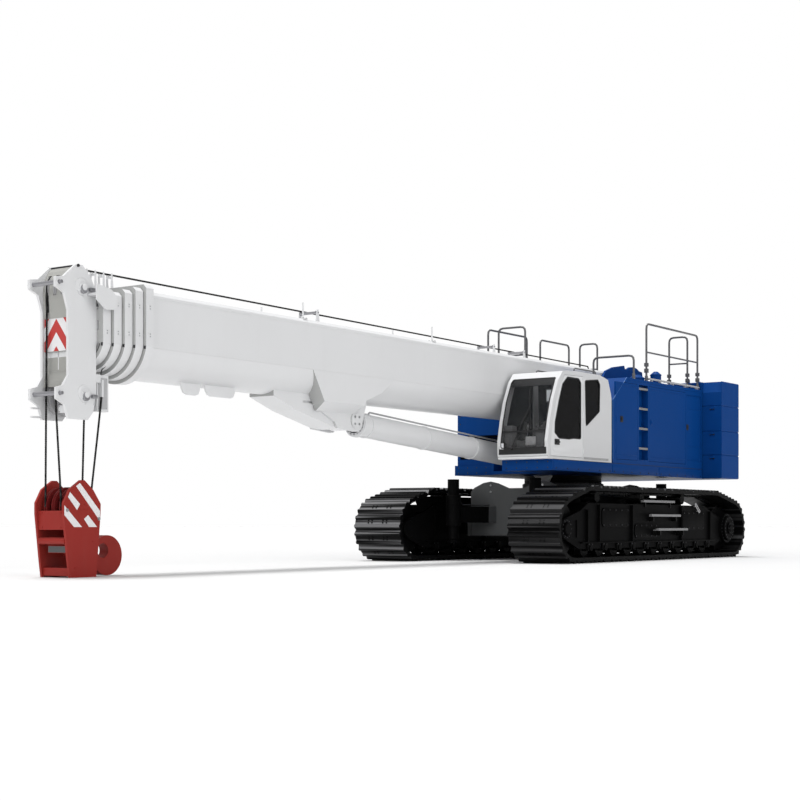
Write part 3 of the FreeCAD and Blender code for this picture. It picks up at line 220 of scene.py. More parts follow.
class Shader(Recipe):
    """A material's tree with the few patterns that the finishes share."""

    def __init__(self, name: str) -> None:
        """Starts a new material.

        Args:
            name: The material's name.
        """
        self.material = bpy.data.materials.new(name)
        self.material.use_nodes = True
        super().__init__(self.material.node_tree)
        self.tree.nodes.clear()
        self.place = self.wire("ShaderNodeTexCoord", output="Object")

    def axes(self) -> tuple[Wire, Wire, Wire]:
        """The point's x, y and z."""
        split = self.node("ShaderNodeSeparateXYZ", sockets={0: self.place})
        return tuple(Wire(self, out) for out in split.outputs)

    def facing(self) -> tuple[Wire, Wire, Wire]:
        """The surface's own direction, x, y and z."""
        normal = self.wire("ShaderNodeNewGeometry", output="Normal")
        split = self.node("ShaderNodeSeparateXYZ", sockets={0: normal})
        return tuple(Wire(self, out) for out in split.outputs)

    def noise(self, scale: float, detail: float = 2.0, stretch: Point = (1.0, 1.0, 1.0), rough: float = 0.5) -> Wire:
        """Cloudy noise from 0 to 1.

        Args:
            scale: How many clouds a metre holds.
            detail: How many finer layers are added.
            stretch: How much the pattern is squeezed along each axis.
            rough: The weight of the finer layers.

        Returns:
            The noise's value.
        """
        place = self.wire("ShaderNodeMapping", sockets={"Vector": self.place, "Scale": stretch})
        return self.wire("ShaderNodeTexNoise", sockets={"Vector": place, "Scale": scale, "Detail": detail,
                                                        "Roughness": rough})

    def blend(self, share: Wire | float, first: Wire | Colour, second: Wire | Colour) -> Wire:
        """One colour from two.

        Args:
            share: 0 for the first, 1 for the second.
            first: A colour or its wire.
            second: A colour or its wire.

        Returns:
            The mixed colour.
        """
        def colour(value: Wire | Colour) -> object:
            """A colour as a socket wants it."""
            return value if isinstance(value, Wire) else (*value, 1.0)

        return self.wire("ShaderNodeMix", {"data_type": "RGBA"}, {0: share, 6: colour(first), 7: colour(second)}, 2)

    def bump(self, height: Wire, strength: float, distance: float) -> Wire:
        """A bumped normal from a height."""
        return self.wire("ShaderNodeBump", sockets={"Height": height, "Strength": strength, "Distance": distance})

    def surface(self, **sockets: object) -> bpy.types.Material:
        """Ends the tree in one Principled shader.

        Args:
            **sockets: Socket names, with spaces as underscores, and their values or wires.

        Returns:
            The finished material.
        """
        named = {key.replace("_", " "): value for key, value in sockets.items()}
        for key in ("Base Color", "Emission Color"):
            if isinstance(named.get(key), tuple):
                named[key] = (*named[key], 1.0)
        shader = self.wire("ShaderNodeBsdfPrincipled", sockets=named)
        self.node("ShaderNodeOutputMaterial", sockets={"Surface": shader})
        return self.material


# Finishes


@dataclass(frozen=True)
class Finish:
    """What a surface is made of, and the record's slot that it belongs to. Each kind writes its own tree."""

    name: str
    slot: str = field(default="chassis_black", kw_only=True)

    def material(self) -> bpy.types.Material:
        """The finish's material, made once."""
        return bpy.data.materials.get(self.name) or self.write(Shader(self.name))

    def write(self, shader: Shader) -> bpy.types.Material:
        """Writes the tree."""
        raise NotImplementedError


@dataclass(frozen=True)
class Paint(Finish):
    """Sprayed paint with orange peel, faint clouds, rain streaks and dust on what faces up."""

    colour: Colour = (0.5, 0.5, 0.5)
    rough: float = 0.32
    coat: float = 0.3
    sheen: float = 0.5
    dust: Colour = (0.45, 0.43, 0.40)
    dusty: float = 0.12
    cloud: float = 0.06

    def base(self, shader: Shader) -> tuple[Wire, Wire, Wire]:
        """The paint's colour, roughness and bumped normal.

        Args:
            shader: The tree to write in.

        Returns:
            The three wires.
        """
        clouds = shader.noise(0.9, 4.0)
        streaks = shader.noise(5.0, 4.0, (1.0, 1.0, 0.12))
        specks = shader.noise(55.0, 3.0, rough=0.7)
        _, _, up = shader.facing()
        lying = up.ramp(0.55, 0.95) * specks.ramp(0.35, 0.75)
        darker = tuple(c * (1.0 - 2.2 * self.cloud) for c in self.colour)
        lighter = tuple(min(1.0, c * (1.0 + self.cloud) + 0.004) for c in self.colour)
        paint = shader.blend(clouds, darker, lighter)
        paint = shader.blend(streaks.ramp(0.52, 0.85) * (0.9 * self.dusty), paint, self.dust)
        paint = shader.blend(lying * (2.2 * self.dusty), paint, self.dust)
        rough = self.rough - 0.06 + streaks * 0.10 + lying * 0.2
        peel = shader.noise(210.0, 2.0)
        normal = shader.bump(peel + clouds * 2.0, 0.10, 0.0012)
        return paint, rough, normal

    def write(self, shader: Shader) -> bpy.types.Material:
        """Paint alone."""
        paint, rough, normal = self.base(shader)
        return shader.surface(Base_Color=paint, Roughness=rough, Normal=normal, Metallic=0.0,
                              Coat_Weight=self.coat, Coat_Roughness=0.12, Specular_IOR_Level=self.sheen)


@dataclass(frozen=True)
class ZonedPaint(Paint):
    """Paint with a second colour inside some boxes; x and y count from the middle, both ways."""

    other: Colour = (0.5, 0.5, 0.5)
    zones: tuple[tuple[Point, Point], ...] = ()
    ahead: bool = False

    def write(self, shader: Shader) -> bpy.types.Material:
        """Two paints with a sharp edge; with ahead, the second is kept to faces that look forward.

        Args:
            shader: The node graph to write into.

        Returns:
            The finished material.
        """
        paint, rough, normal = self.base(shader)
        x, y, z = shader.axes()
        within = 0.0
        for low, high in self.zones:
            inside = 1.0
            for wire, a, b in zip((x.size(), y.size(), z), low, high):
                inside = (wire > a) * (wire < b) * inside
            within = inside + within
        # With ahead, the second colour goes on forward faces; on the boom sections this is painted shade.
        if self.ahead:
            within = within * shader.facing()[0].ramp(0.6, 0.9)
        return shader.surface(Base_Color=shader.blend(within, paint, self.other), Roughness=rough, Normal=normal,
                              Coat_Weight=self.coat, Coat_Roughness=0.12, Specular_IOR_Level=self.sheen)


@dataclass(frozen=True)
class CabPaint(Paint):
    """The cab's outer paint, and its dark lining on every face inside the walls."""

    outline: tuple[Pair, ...] = ()
    depth: float = 0.03
    low: float = 0.6
    high: float = 1.55
    lining: Colour = (0.34, 0.34, 0.35)

    def inside(self, shader: Shader) -> Wire:
        """1 on the faces that look into the cab.

        Args:
            shader: The node graph to write into.

        Returns:
            The mask, 0 or 1.
        """
        x, y, z = shader.axes()
        nearest = (y - self.low).lower_of(self.high - y)
        for (xa, za), (xb, zb) in zip(self.outline, self.outline[1:] + self.outline[:1]):
            length = math.hypot(xb - xa, zb - za)
            nx, nz = -(zb - za) / length, (xb - xa) / length
            away = x * nx + z * nz - (xa * nx + za * nz + self.depth)
            nearest = nearest.lower_of(away)
        return nearest > 0.0

    def write(self, shader: Shader) -> bpy.types.Material:
        """Paint outside and lining inside.

        Args:
            shader: The node graph to write into.

        Returns:
            The finished material.
        """
        paint, rough, normal = self.base(shader)
        lined = self.inside(shader)
        colour = shader.blend(lined, paint, self.lining)
        return shader.surface(Base_Color=colour, Roughness=rough + lined * 0.35, Normal=normal,
                              Coat_Weight=self.coat * (1.0 - lined), Coat_Roughness=0.12,
                              Specular_IOR_Level=self.sheen)


@dataclass(frozen=True)
class TrackSteel(Finish):
    """Black-coated cast steel: pitted, rubbed along its proud edges, dusty in its hollows, with painted highlight
    streaks on faces that look forward and up.
    """

    colour: Colour = (0.0018, 0.0018, 0.002)
    rubbed: Colour = (0.008, 0.008, 0.009)
    soil: Colour = (0.012, 0.011, 0.011)
    polished: Colour = (0.20, 0.20, 0.205)
    rough: float = 0.36
    soiled: float = 0.25
    shine: float = 0.35

    def write(self, shader: Shader) -> bpy.types.Material:
        """The pitted coat.

        Args:
            shader: The node graph to write into.

        Returns:
            The finished material.
        """
        pits = shader.noise(75.0, 5.0, rough=0.65)
        wear = shader.noise(9.0, 5.0, (1.0, 1.0, 1.0), 0.6)
        fine = shader.noise(320.0, 2.0)
        _, _, z = shader.axes()
        low = 1.0 - z.ramp(0.02, 0.9)
        colour = shader.blend(wear.ramp(0.55, 0.8) * 0.5, self.colour, self.rubbed)
        soil = (pits.ramp(0.5, 0.8) * (low * 0.8 + 0.2)) * self.soiled
        colour = shader.blend(soil, colour, self.soil)
        # Painted highlight: pale streaks where faces look forward and up.
        ahead, _, up = shader.facing()
        streaks = shader.noise(15.0, 2.0, (0.8, 0.012, 1.0)).ramp(0.44, 0.62)
        bright = ahead.ramp(0.25, 0.75) * streaks * (up.ramp(-0.3, 0.6) * 0.7 + 0.3)
        colour = shader.blend(bright * self.shine, colour, self.polished)
        rough = self.rough + wear * 0.16 + soil * 0.6
        normal = shader.bump(pits + fine * 0.3, 0.30, 0.004)
        return shader.surface(Base_Color=colour, Roughness=rough, Normal=normal, Metallic=0.0,
                              Coat_Weight=0.0, Coat_Roughness=0.2, Specular_IOR_Level=0.07)


@dataclass(frozen=True)
class BareSteel(Finish):
    """Machined, ground or plated steel, with the tool's fine lines."""

    colour: Colour = (0.55, 0.55, 0.57)
    rough: float = 0.3
    grain: Point = (1.0, 1.0, 1.0)
    stain: Colour = (0.16, 0.12, 0.09)
    stained: float = 0.15

    def write(self, shader: Shader) -> bpy.types.Material:
        """Metal with grain and a few stains.

        Args:
            shader: The node graph to write into.

        Returns:
            The finished material.
        """
        lines = shader.noise(140.0, 3.0, self.grain)
        spots = shader.noise(14.0, 4.0)
        colour = shader.blend(lines, tuple(c * 0.82 for c in self.colour), self.colour)
        colour = shader.blend(spots.ramp(0.58, 0.8) * self.stained, colour, self.stain)
        return shader.surface(Base_Color=colour, Metallic=1.0, Roughness=self.rough - 0.05 + lines * 0.14,
                              Normal=shader.bump(lines, 0.15, 0.0006))


@dataclass(frozen=True)
class WireRope(Finish):
    """Greased steel rope: strands that slant along a straight line between two points."""

    start: Point = (0.0, 0.0, 0.0)
    end: Point = (1.0, 0.0, 0.0)
    lay: float = 0.09
    colour: Colour = (0.006, 0.006, 0.006)
    bright: Colour = (0.05, 0.05, 0.05)

    def write(self, shader: Shader) -> bpy.types.Material:
        """Strand shading that winds round the line.

        Args:
            shader: The node graph to write into.

        Returns:
            The finished material.
        """
        along = (Vector(self.end) - Vector(self.start)).normalized()
        x, y, z = shader.axes()
        run = x * along.x + y * along.y + z * along.z
        lump = ((run / self.lay + (x + y * 0.7 + z * 0.4) * 12.0).fraction() - 0.5).size() * 2.0
        grime = shader.noise(30.0, 3.0)
        colour = shader.blend(lump.ramp(0.45, 0.95) * (0.4 + grime * 0.5), self.colour, self.bright)
        return shader.surface(Base_Color=colour, Metallic=0.6, Roughness=0.42 + grime * 0.2,
                              Normal=shader.bump(lump, 0.7, 0.003))


@dataclass(frozen=True)
class Moulded(Finish):
    """Rubber or moulded plastic with a fine skin."""

    colour: Colour = (0.02, 0.02, 0.02)
    rough: float = 0.6
    grain: float = 260.0
    depth: float = 0.0008
    bloom: Colour = (0.07, 0.07, 0.07)

    def write(self, shader: Shader) -> bpy.types.Material:
        """The grained skin, paler where it has bloomed.

        Args:
            shader: The node graph to write into.

        Returns:
            The finished material.
        """
        skin = shader.noise(self.grain, 3.0, rough=0.7)
        bloom = shader.noise(6.0, 3.0)
        colour = shader.blend(bloom.ramp(0.5, 0.8) * 0.3, self.colour, self.bloom)
        return shader.surface(Base_Color=colour, Roughness=self.rough - 0.05 + bloom * 0.1,
                              Normal=shader.bump(skin, 0.5, self.depth), Specular_IOR_Level=0.35)


@dataclass(frozen=True)
class Woven(Finish):
    """Seat cloth: warp and weft threads."""

    colour: Colour = (0.040, 0.042, 0.047)
    thread: Colour = (0.055, 0.058, 0.063)
    count: float = 330.0

    def write(self, shader: Shader) -> bpy.types.Material:
        """Crossed threads on Object coordinates.

        Args:
            shader: The node graph to write into.

        Returns:
            The finished material.
        """
        x, y, z = shader.axes()
        warp = ((y * self.count).fraction() - 0.5).size() * 2.0
        weft = (((x + z) * self.count).fraction() - 0.5).size() * 2.0
        mottle = shader.noise(40.0, 3.0)
        colour = shader.blend((warp * weft) * 0.6 + mottle * 0.3, self.colour, self.thread)
        return shader.surface(Base_Color=colour, Roughness=0.82 + mottle * 0.1, Sheen_Weight=0.3,
                              Normal=shader.bump(warp + weft, 0.12, 0.0004))


@dataclass(frozen=True)
class Pane(Finish):
    """Tinted safety glass, a little dusty towards its lower edge; panes that face sideways are painted near black and
    nearly opaque as a painted dark reflection.
    """

    tint: Colour = (0.045, 0.05, 0.055)
    clear: float = 0.10
    side_cover: float = 0.70
    low: float = 2.0

    def write(self, shader: Shader) -> bpy.types.Material:
        """Thin glass by alpha, with smears in its roughness.

        Args:
            shader: The node graph to write into.

        Returns:
            The finished material.
        """
        _, _, z = shader.axes()
        smear = shader.noise(7.0, 4.0, (1.0, 1.0, 0.4))
        dust = (1.0 - z.ramp(self.low, self.low + 0.9)) * smear.ramp(0.35, 0.8)
        # Painted dark reflection: side-facing panes turn near black and nearly opaque.
        side_dark_mask = shader.facing()[1].size().ramp(0.6, 0.9)
        alpha = self.clear + dust * 0.12 + smear * 0.03 + side_dark_mask * self.side_cover
        colour = shader.blend(side_dark_mask, shader.blend(dust * 0.4, self.tint, (0.30, 0.29, 0.27)), (0.003, 0.003, 0.0035))
        made = shader.surface(Base_Color=colour, Roughness=0.03 + dust * 0.12 + smear * 0.02, Alpha=alpha, IOR=1.5)
        made.blend_method = "BLEND"
        return made


@dataclass(frozen=True)
class Lens(Finish):
    """A lamp's ribbed cover."""

    colour: Colour = (0.8, 0.8, 0.78)
    ribs: float = 60.0
    glow: float = 0.0

    def write(self, shader: Shader) -> bpy.types.Material:
        """Ribs across a bright cover.

        Args:
            shader: The node graph to write into.

        Returns:
            The finished material.
        """
        _, y, z = shader.axes()
        rib = ((y * self.ribs).fraction() - 0.5).size() * 2.0
        row = ((z * self.ribs).fraction() - 0.5).size() * 2.0
        mottle = shader.noise(24.0, 2.0)
        colour = shader.blend(rib * 0.35 + mottle * 0.2, self.colour, tuple(c * 0.55 for c in self.colour))
        return shader.surface(Base_Color=colour, Roughness=0.12 + mottle * 0.08, Coat_Weight=0.6,
                              Normal=shader.bump(rib + row, 0.5, 0.0015), Emission_Color=colour,
                              Emission_Strength=self.glow)


@dataclass(frozen=True)
class Sheeting(Finish):
    """Reflective sheeting: a fine cell grid under a clear film."""

    colour: Colour = (0.8, 0.8, 0.8)

    def write(self, shader: Shader) -> bpy.types.Material:
        """The cell grid.

        Args:
            shader: The node graph to write into.

        Returns:
            The finished material.
        """
        x, y, z = shader.axes()
        cell = ((x + y) * 90.0).fraction() * (z * 90.0).fraction()
        scuff = shader.noise(11.0, 5.0, rough=0.7)
        colour = shader.blend(cell * 0.10 + scuff.ramp(0.6, 0.8) * 0.18, self.colour,
                              tuple(c * 0.6 for c in self.colour))
        return shader.surface(Base_Color=colour, Roughness=0.28 + scuff * 0.2, Coat_Weight=0.3,
                              Normal=shader.bump(cell, 0.1, 0.0005))


@dataclass(frozen=True)
class StudioFloor(Finish):
    """A matt white sweep."""

    def write(self, shader: Shader) -> bpy.types.Material:
        """Faintly mottled white."""
        mottle = shader.noise(0.6, 3.0)
        colour = shader.blend(mottle, (0.68, 0.68, 0.68), (0.70, 0.70, 0.70))
        return shader.surface(Base_Color=colour, Roughness=0.7 + mottle * 0.1, Specular_IOR_Level=0.15)


def cab_outline() -> tuple[Pair, ...]:
    """The cab's side outline, x and z, anticlockwise seen from the right, in metres."""
    return ((1.02, 1.80), (3.33, 1.80), (3.40, 1.86), (3.41, 2.12), (3.33, 2.47), (3.22, 2.82), (3.04, 3.18),
            (2.865, 3.35), (2.43, 3.385), (1.48, 3.385), (1.16, 3.32), (1.04, 3.06), (1.02, 2.98))


WHITE = Paint("white_gloss_paint", (0.73, 0.735, 0.745), rough=0.34, coat=0.10, sheen=0.3, dusty=0.05, cloud=0.02,
              slot="boom_white")
BLUE = Paint("blue_house_paint", (0.0005, 0.045, 0.212), rough=0.40, coat=0.01, sheen=0.05, dust=(0.10, 0.15, 0.26),
             dusty=0.05, cloud=0.04, slot="panel_blue")
# Lighter blue: painted highlight along the house's front chamfer edge.
EDGE_HIGHLIGHT_BLUE = Paint("blue_edge_paint", (0.05, 0.16, 0.42), rough=0.35, coat=0.05, sheen=0.3, dusty=0.03,
                  slot="panel_blue")
BLACK = Paint("black_frame_paint", (0.0012, 0.0012, 0.0014), rough=0.48, coat=0.0, sheen=0.03,
              dust=(0.010, 0.010, 0.010), dusty=0.10, cloud=0.10)
CARBODY_PAINT = ZonedPaint("carbody_paint", (0.0015, 0.0015, 0.0017), rough=0.45, coat=0.0, sheen=0.03,
                           dust=(0.012, 0.012, 0.012), dusty=0.10, other=(0.070, 0.072, 0.074),
                           zones=(((-1.0, -1.0, 0.0), (1.95, 9.0, 2.0)),))
# Boom sections: faces that look forward are painted grey, as painted shade in the recesses between the collars.
WHITE_SECTION_SHADED_FRONTS = ZonedPaint("white_section_paint", (0.73, 0.735, 0.745), rough=0.34, coat=0.10, sheen=0.3, dusty=0.05,
                           cloud=0.02, other=(0.40, 0.405, 0.40), zones=(((-1.0, -1.0, 0.0), (99.0, 9.0, 9.0)),),
                           ahead=True)
# Boom head: grey between the cheek plates, partly a grey-beige tone of the guard and partly painted shade of the
# recess.
HEAD_RECESS_GREY_AND_SHADE = ZonedPaint("white_head_paint", (0.73, 0.735, 0.745), rough=0.34, coat=0.10, sheen=0.3, dusty=0.05,
                        cloud=0.02, other=(0.37, 0.37, 0.35), zones=(((12.90, -1.0, 2.0), (13.30, 0.2145, 3.93)),))
CARBODY_GREY = Paint("carbody_grey_paint", (0.085, 0.088, 0.090), rough=0.45, coat=0.02, sheen=0.15,
                     dust=(0.12, 0.12, 0.12), dusty=0.12, cloud=0.08, slot="carbody_grey")
STEP_GREY = Paint("step_grey_paint", (0.24, 0.24, 0.245), rough=0.45, coat=0.03, sheen=0.2, dusty=0.08,
                  slot="step_light")
TRACK_STEPS = ZonedPaint("track_step_paint", (0.0015, 0.0015, 0.0017), rough=0.45, coat=0.0, sheen=0.10, dusty=0.02,
                         other=(0.24, 0.24, 0.245), zones=tuple(((-1.0, 0.0, z - 0.021), (1.5, 3.0, z + 0.021))
                                                                for z in (1.10, 0.835, 0.57)))
TURNTABLE_BLUE = ZonedPaint("turntable_paint", (0.0005, 0.045, 0.212), rough=0.40, coat=0.01, sheen=0.05,
                            dust=(0.10, 0.15, 0.26), dusty=0.05, cloud=0.04, other=(0.002, 0.002, 0.002),
                            zones=(((-1.0, -1.0, 0.0), (9.0, 9.0, 1.609)),))
PALE_GREY = Paint("pale_grey_paint", (0.42, 0.42, 0.43), rough=0.42, coat=0.1, dusty=0.08, slot="rail_grey")
RAIL_GREY = Paint("rail_grey_paint", (0.085, 0.085, 0.09), rough=0.36, coat=0.2, dusty=0.08, slot="rail_grey")
# Darker red on the hook's sheaves: partly the sheaves' own dark red and partly painted shade between the cheeks.
DARK_RED = Paint("sheave_red_paint", (0.16, 0.012, 0.012), rough=0.42, coat=0.03, sheen=0.12, dusty=0.05)
RED = Paint("hook_red_paint", (0.30, 0.026, 0.020), rough=0.38, coat=0.03, sheen=0.12, dust=(0.26, 0.12, 0.10),
            dusty=0.07, cloud=0.07)
CAB_WHITE = CabPaint("cab_white_paint", (0.65, 0.655, 0.665), rough=0.34, coat=0.10, sheen=0.3, dusty=0.05, cloud=0.02,
                     outline=cab_outline())
TREAD = TrackSteel("track_black_steel", slot="track_black")
# Far track: the same steel with stronger painted highlight streaks.
HIGHLIT_TREAD = TrackSteel("track_worn_steel", polished=(0.36, 0.36, 0.37), shine=0.85)
STEEL = BareSteel("ground_steel", (0.42, 0.42, 0.44), rough=0.34, slot="sheave_steel")
SHEAVE_STEEL = BareSteel("sheave_steel", (0.12, 0.12, 0.125), rough=0.42, stained=0.3, slot="sheave_steel")
CHROME = BareSteel("chromed_rod", (0.80, 0.80, 0.82), rough=0.10, grain=(0.05, 1.0, 1.0), stained=0.02)
ZINC = BareSteel("zinc_plate", (0.50, 0.51, 0.52), rough=0.36, stained=0.08)
DARK_STEEL = BareSteel("dark_fastener", (0.06, 0.06, 0.065), rough=0.40)
RUBBER = Moulded("seal_rubber", (0.012, 0.012, 0.013), rough=0.55)
HOSE = Moulded("hose_rubber", (0.014, 0.014, 0.015), rough=0.50, grain=420.0)
PLASTIC = Moulded("moulded_plastic", (0.012, 0.012, 0.013), rough=0.48, bloom=(0.03, 0.03, 0.03))
TRIM = Moulded("cab_trim_plastic", (0.10, 0.10, 0.105), rough=0.5, bloom=(0.16, 0.16, 0.16))
PALE_PLASTIC = Moulded("pale_plastic", (0.45, 0.45, 0.46), rough=0.45, bloom=(0.55, 0.55, 0.55), slot="boom_white")
CLOTH = Woven("seat_cloth", slot="seat_fabric")
GLASS = Pane("tinted_glass")
SCREEN = Lens("lit_display", (0.50, 0.53, 0.56), ribs=20.0, glow=0.25, slot="step_light")
LAMP = Lens("lamp_glass", (0.75, 0.76, 0.78), slot="step_light")
RED_LENS = Lens("red_lens", (0.55, 0.02, 0.02), slot="hook_red")
WHITE_SHEET = Sheeting("white_sheeting", (0.82, 0.81, 0.82), slot="boom_white")
RED_SHEET = Sheeting("red_sheeting", (0.52, 0.035, 0.03), slot="hook_red")
DRUM_ROPE = WireRope("drum_rope", (0.0, 0.0, 0.0), (0.0, 1.0, 0.0), lay=0.03)


# Geometry Nodes


class NodeForm(Recipe):
    """A Geometry Nodes tree with named inputs that turns a carrier mesh into repeats."""

    def __init__(self, name: str, inputs: dict[str, tuple[str, object]]) -> None:
        """Starts the tree.

        Args:
            name: The tree's name.
            inputs: Each input's name, socket kind (Float, Int or Vector) and value.
        """
        super().__init__(bpy.data.node_groups.new(name, "GeometryNodeTree"))
        face = self.tree.interface
        face.new_socket("Geometry", in_out="OUTPUT", socket_type="NodeSocketGeometry")
        face.new_socket("Geometry", in_out="INPUT", socket_type="NodeSocketGeometry")
        face.new_socket("Finish", in_out="INPUT", socket_type="NodeSocketMaterial")
        for label, (kind, value) in inputs.items():
            socket = face.new_socket(label, in_out="INPUT", socket_type=f"NodeSocket{kind}")
            socket.default_value = value
        self.source = self.node("NodeGroupInput")
        self.sink = self.node("NodeGroupOutput")

    def given(self, name: str) -> Wire:
        """A named input's wire."""
        return Wire(self, self.source.outputs[name])

    def points_to(self, direction: str, along: str | None = None) -> Wire:
        """A rotation that turns Z to one stored vector, and X to another.

        Args:
            direction: The attribute that Z turns to.
            along: The attribute that X turns to.

        Returns:
            The rotation.
        """
        def stored(name: str) -> Wire:
            """A vector attribute."""
            return self.wire("GeometryNodeInputNamedAttribute", {"data_type": "FLOAT_VECTOR"}, {"Name": name})

        turn = self.wire("FunctionNodeAlignRotationToVector", {"axis": "Z"}, {"Vector": stored(direction)})
        if along:
            turn = self.wire("FunctionNodeAlignRotationToVector", {"axis": "X", "pivot_axis": "Z"},
                             {"Rotation": turn, "Vector": stored(along)})
        return turn

    def cylinder(self, radius: object, height: Wire, base: object, sides: int) -> Wire:
        """A flat-ended round piece that stands on base.

        Args:
            radius: Its radius, a number or a wire.
            height: Its height.
            base: The height it stands at, a number or a wire.
            sides: How many sides it has.

        Returns:
            The round piece.
        """
        made = self.wire("GeometryNodeMeshCylinder", {"fill_type": "NGON"},
                         {"Vertices": sides, "Radius": radius, "Depth": height}, "Mesh")
        lift = self.wire("ShaderNodeCombineXYZ", sockets={2: height * 0.5 + base})
        return self.wire("GeometryNodeTransform", sockets={"Geometry": made, "Translation": lift})

    def joined(self, *parts: Wire) -> Wire:
        """Several geometries as one.

        Args:
            parts: The geometries.

        Returns:
            Them all.
        """
        join = self.node("GeometryNodeJoinGeometry")
        for part in parts:
            self.tree.links.new(part.socket, join.inputs[0])
        return Wire(self, join.outputs[0])

    def spread(self, shape: Wire, turn: Wire) -> Wire:
        """The shape once on every point of the carrier."""
        return self.wire("GeometryNodeInstanceOnPoints",
                         sockets={"Points": self.given("Geometry"), "Instance": shape, "Rotation": turn})

    def close(self, shape: Wire, smooth: bool = False) -> None:
        """Ends the tree: real meshes with their finish.

        Args:
            shape: The geometry to end with.
            smooth: Whether its faces are shaded smooth.
        """
        real = self.wire("GeometryNodeRealizeInstances", sockets={0: shape})
        if smooth:
            real = self.wire("GeometryNodeSetShadeSmooth", sockets={"Geometry": real})
        dressed = self.wire("GeometryNodeSetMaterial", sockets={"Geometry": real, "Material": self.given("Finish")})
        self.tree.links.new(dressed.socket, self.sink.inputs[0])

    def grow(self, name: str, carrier: bpy.types.Mesh, finish: Finish, **values: object) -> bpy.types.Object:
        """Runs the tree on a carrier and keeps the result as one plain mesh.

        Args:
            name: The piece's name.
            carrier: The points or lines that the tree reads.
            finish: The material.
            **values: Inputs by name, with spaces as underscores.

        Returns:
            The new object.
        """
        holder = bpy.data.objects.new(name + "_carrier", carrier)
        bpy.context.scene.collection.objects.link(holder)
        live = holder.modifiers.new("form", "NODES")
        live.node_group = self.tree
        wanted = {key.replace("_", " "): value for key, value in values.items()} | {"Finish": finish.material()}
        for item in self.tree.interface.items_tree:
            if item.in_out == "INPUT" and item.name in wanted:
                live[item.identifier] = wanted[item.name]
        graph = bpy.context.evaluated_depsgraph_get()
        mesh = bpy.data.meshes.new_from_object(holder.evaluated_get(graph))
        bpy.data.objects.remove(holder)
        mesh.name = name
        made = bpy.data.objects.new(name, mesh)
        bpy.context.scene.collection.objects.link(made)
        return made


def bolt_form() -> NodeForm:
    """Hexagon heads on washers, one on each point.

    Returns:
        The tree, ready to grow.
    """
    form = NodeForm("bolts", {"Head Radius": ("Float", 0.015), "Head Height": ("Float", 0.012),
                              "Washer Radius": ("Float", 0.02), "Washer Height": ("Float", 0.003)})
    washer = form.cylinder(form.given("Washer Radius"), form.given("Washer Height"), 0.0, 10)
    head = form.cylinder(form.given("Head Radius"), form.given("Head Height"), form.given("Washer Height"), 6)
    form.close(form.spread(form.joined(washer, head), form.points_to("facing")))
    return form


def bar_form() -> NodeForm:
    """A row of equal bars, from a start by a step.

    Returns:
        The tree, ready to grow.
    """
    form = NodeForm("bars", {"Count": ("Int", 5), "Start": ("Vector", (0.0, 0.0, 0.0)),
                             "Step": ("Vector", (0.1, 0.0, 0.0)), "Bar": ("Vector", (0.02, 0.02, 0.02)),
                             "Tilt": ("Vector", (0.0, 0.0, 0.0))})
    row = form.wire("GeometryNodeMeshLine", {"mode": "OFFSET"},
                    {"Count": form.given("Count"), "Start Location": form.given("Start"), "Offset": form.given("Step")})
    bar = form.wire("GeometryNodeMeshCube", sockets={"Size": form.given("Bar")}, output="Mesh")
    turn = form.wire("FunctionNodeEulerToRotation", sockets={0: form.given("Tilt")})
    spread = form.wire("GeometryNodeInstanceOnPoints", sockets={"Points": row, "Instance": bar, "Rotation": turn})
    form.close(spread)
    return form


def tube_form() -> NodeForm:
    """A round tube along the carrier's lines, with rounded corners.

    Returns:
        The tree, ready to grow.
    """
    form = NodeForm("tubes", {"Radius": ("Float", 0.01), "Bend": ("Float", 0.05), "Sides": ("Int", 10),
                              "Bend Steps": ("Int", 6)})
    curve = form.wire("GeometryNodeMeshToCurve", sockets={0: form.given("Geometry")})
    round_ = form.wire("GeometryNodeFilletCurve", {"mode": "POLY"},
                       {"Curve": curve, "Count": form.given("Bend Steps"), "Radius": form.given("Bend"),
                        "Limit Radius": True})
    ring = form.wire("GeometryNodeCurvePrimitiveCircle",
                     sockets={"Resolution": form.given("Sides"), "Radius": form.given("Radius")})
    tube = form.wire("GeometryNodeCurveToMesh", sockets={"Curve": round_, "Profile Curve": ring, "Fill Caps": True})
    form.close(tube, smooth=True)
    return form


def strand_form() -> NodeForm:
    """A laid rope along the carrier's lines: a lobed section that turns as it goes.

    Returns:
        The tree, ready to grow.
    """
    form = NodeForm("strands", {"Radius": ("Float", 0.012), "Lay": ("Float", 0.16), "Step": ("Float", 0.02),
                                "Strands": ("Int", 6)})
    curve = form.wire("GeometryNodeMeshToCurve", sockets={0: form.given("Geometry")})
    fine = form.wire("GeometryNodeResampleCurve", {"mode": "LENGTH"}, {"Curve": curve, "Length": form.given("Step")})
    travelled = form.wire("GeometryNodeSplineParameter", output="Length")
    turned = form.wire("GeometryNodeSetCurveTilt",
                       sockets={"Curve": fine, "Tilt": travelled * (2.0 * math.pi) / form.given("Lay")})
    lobes = form.wire("GeometryNodeCurveStar",
                      sockets={"Points": form.given("Strands"), "Inner Radius": form.given("Radius") * 0.78,
                               "Outer Radius": form.given("Radius")})
    rope = form.wire("GeometryNodeCurveToMesh", sockets={"Curve": turned, "Profile Curve": lobes, "Fill Caps": True})
    form.close(rope, smooth=True)
    return form


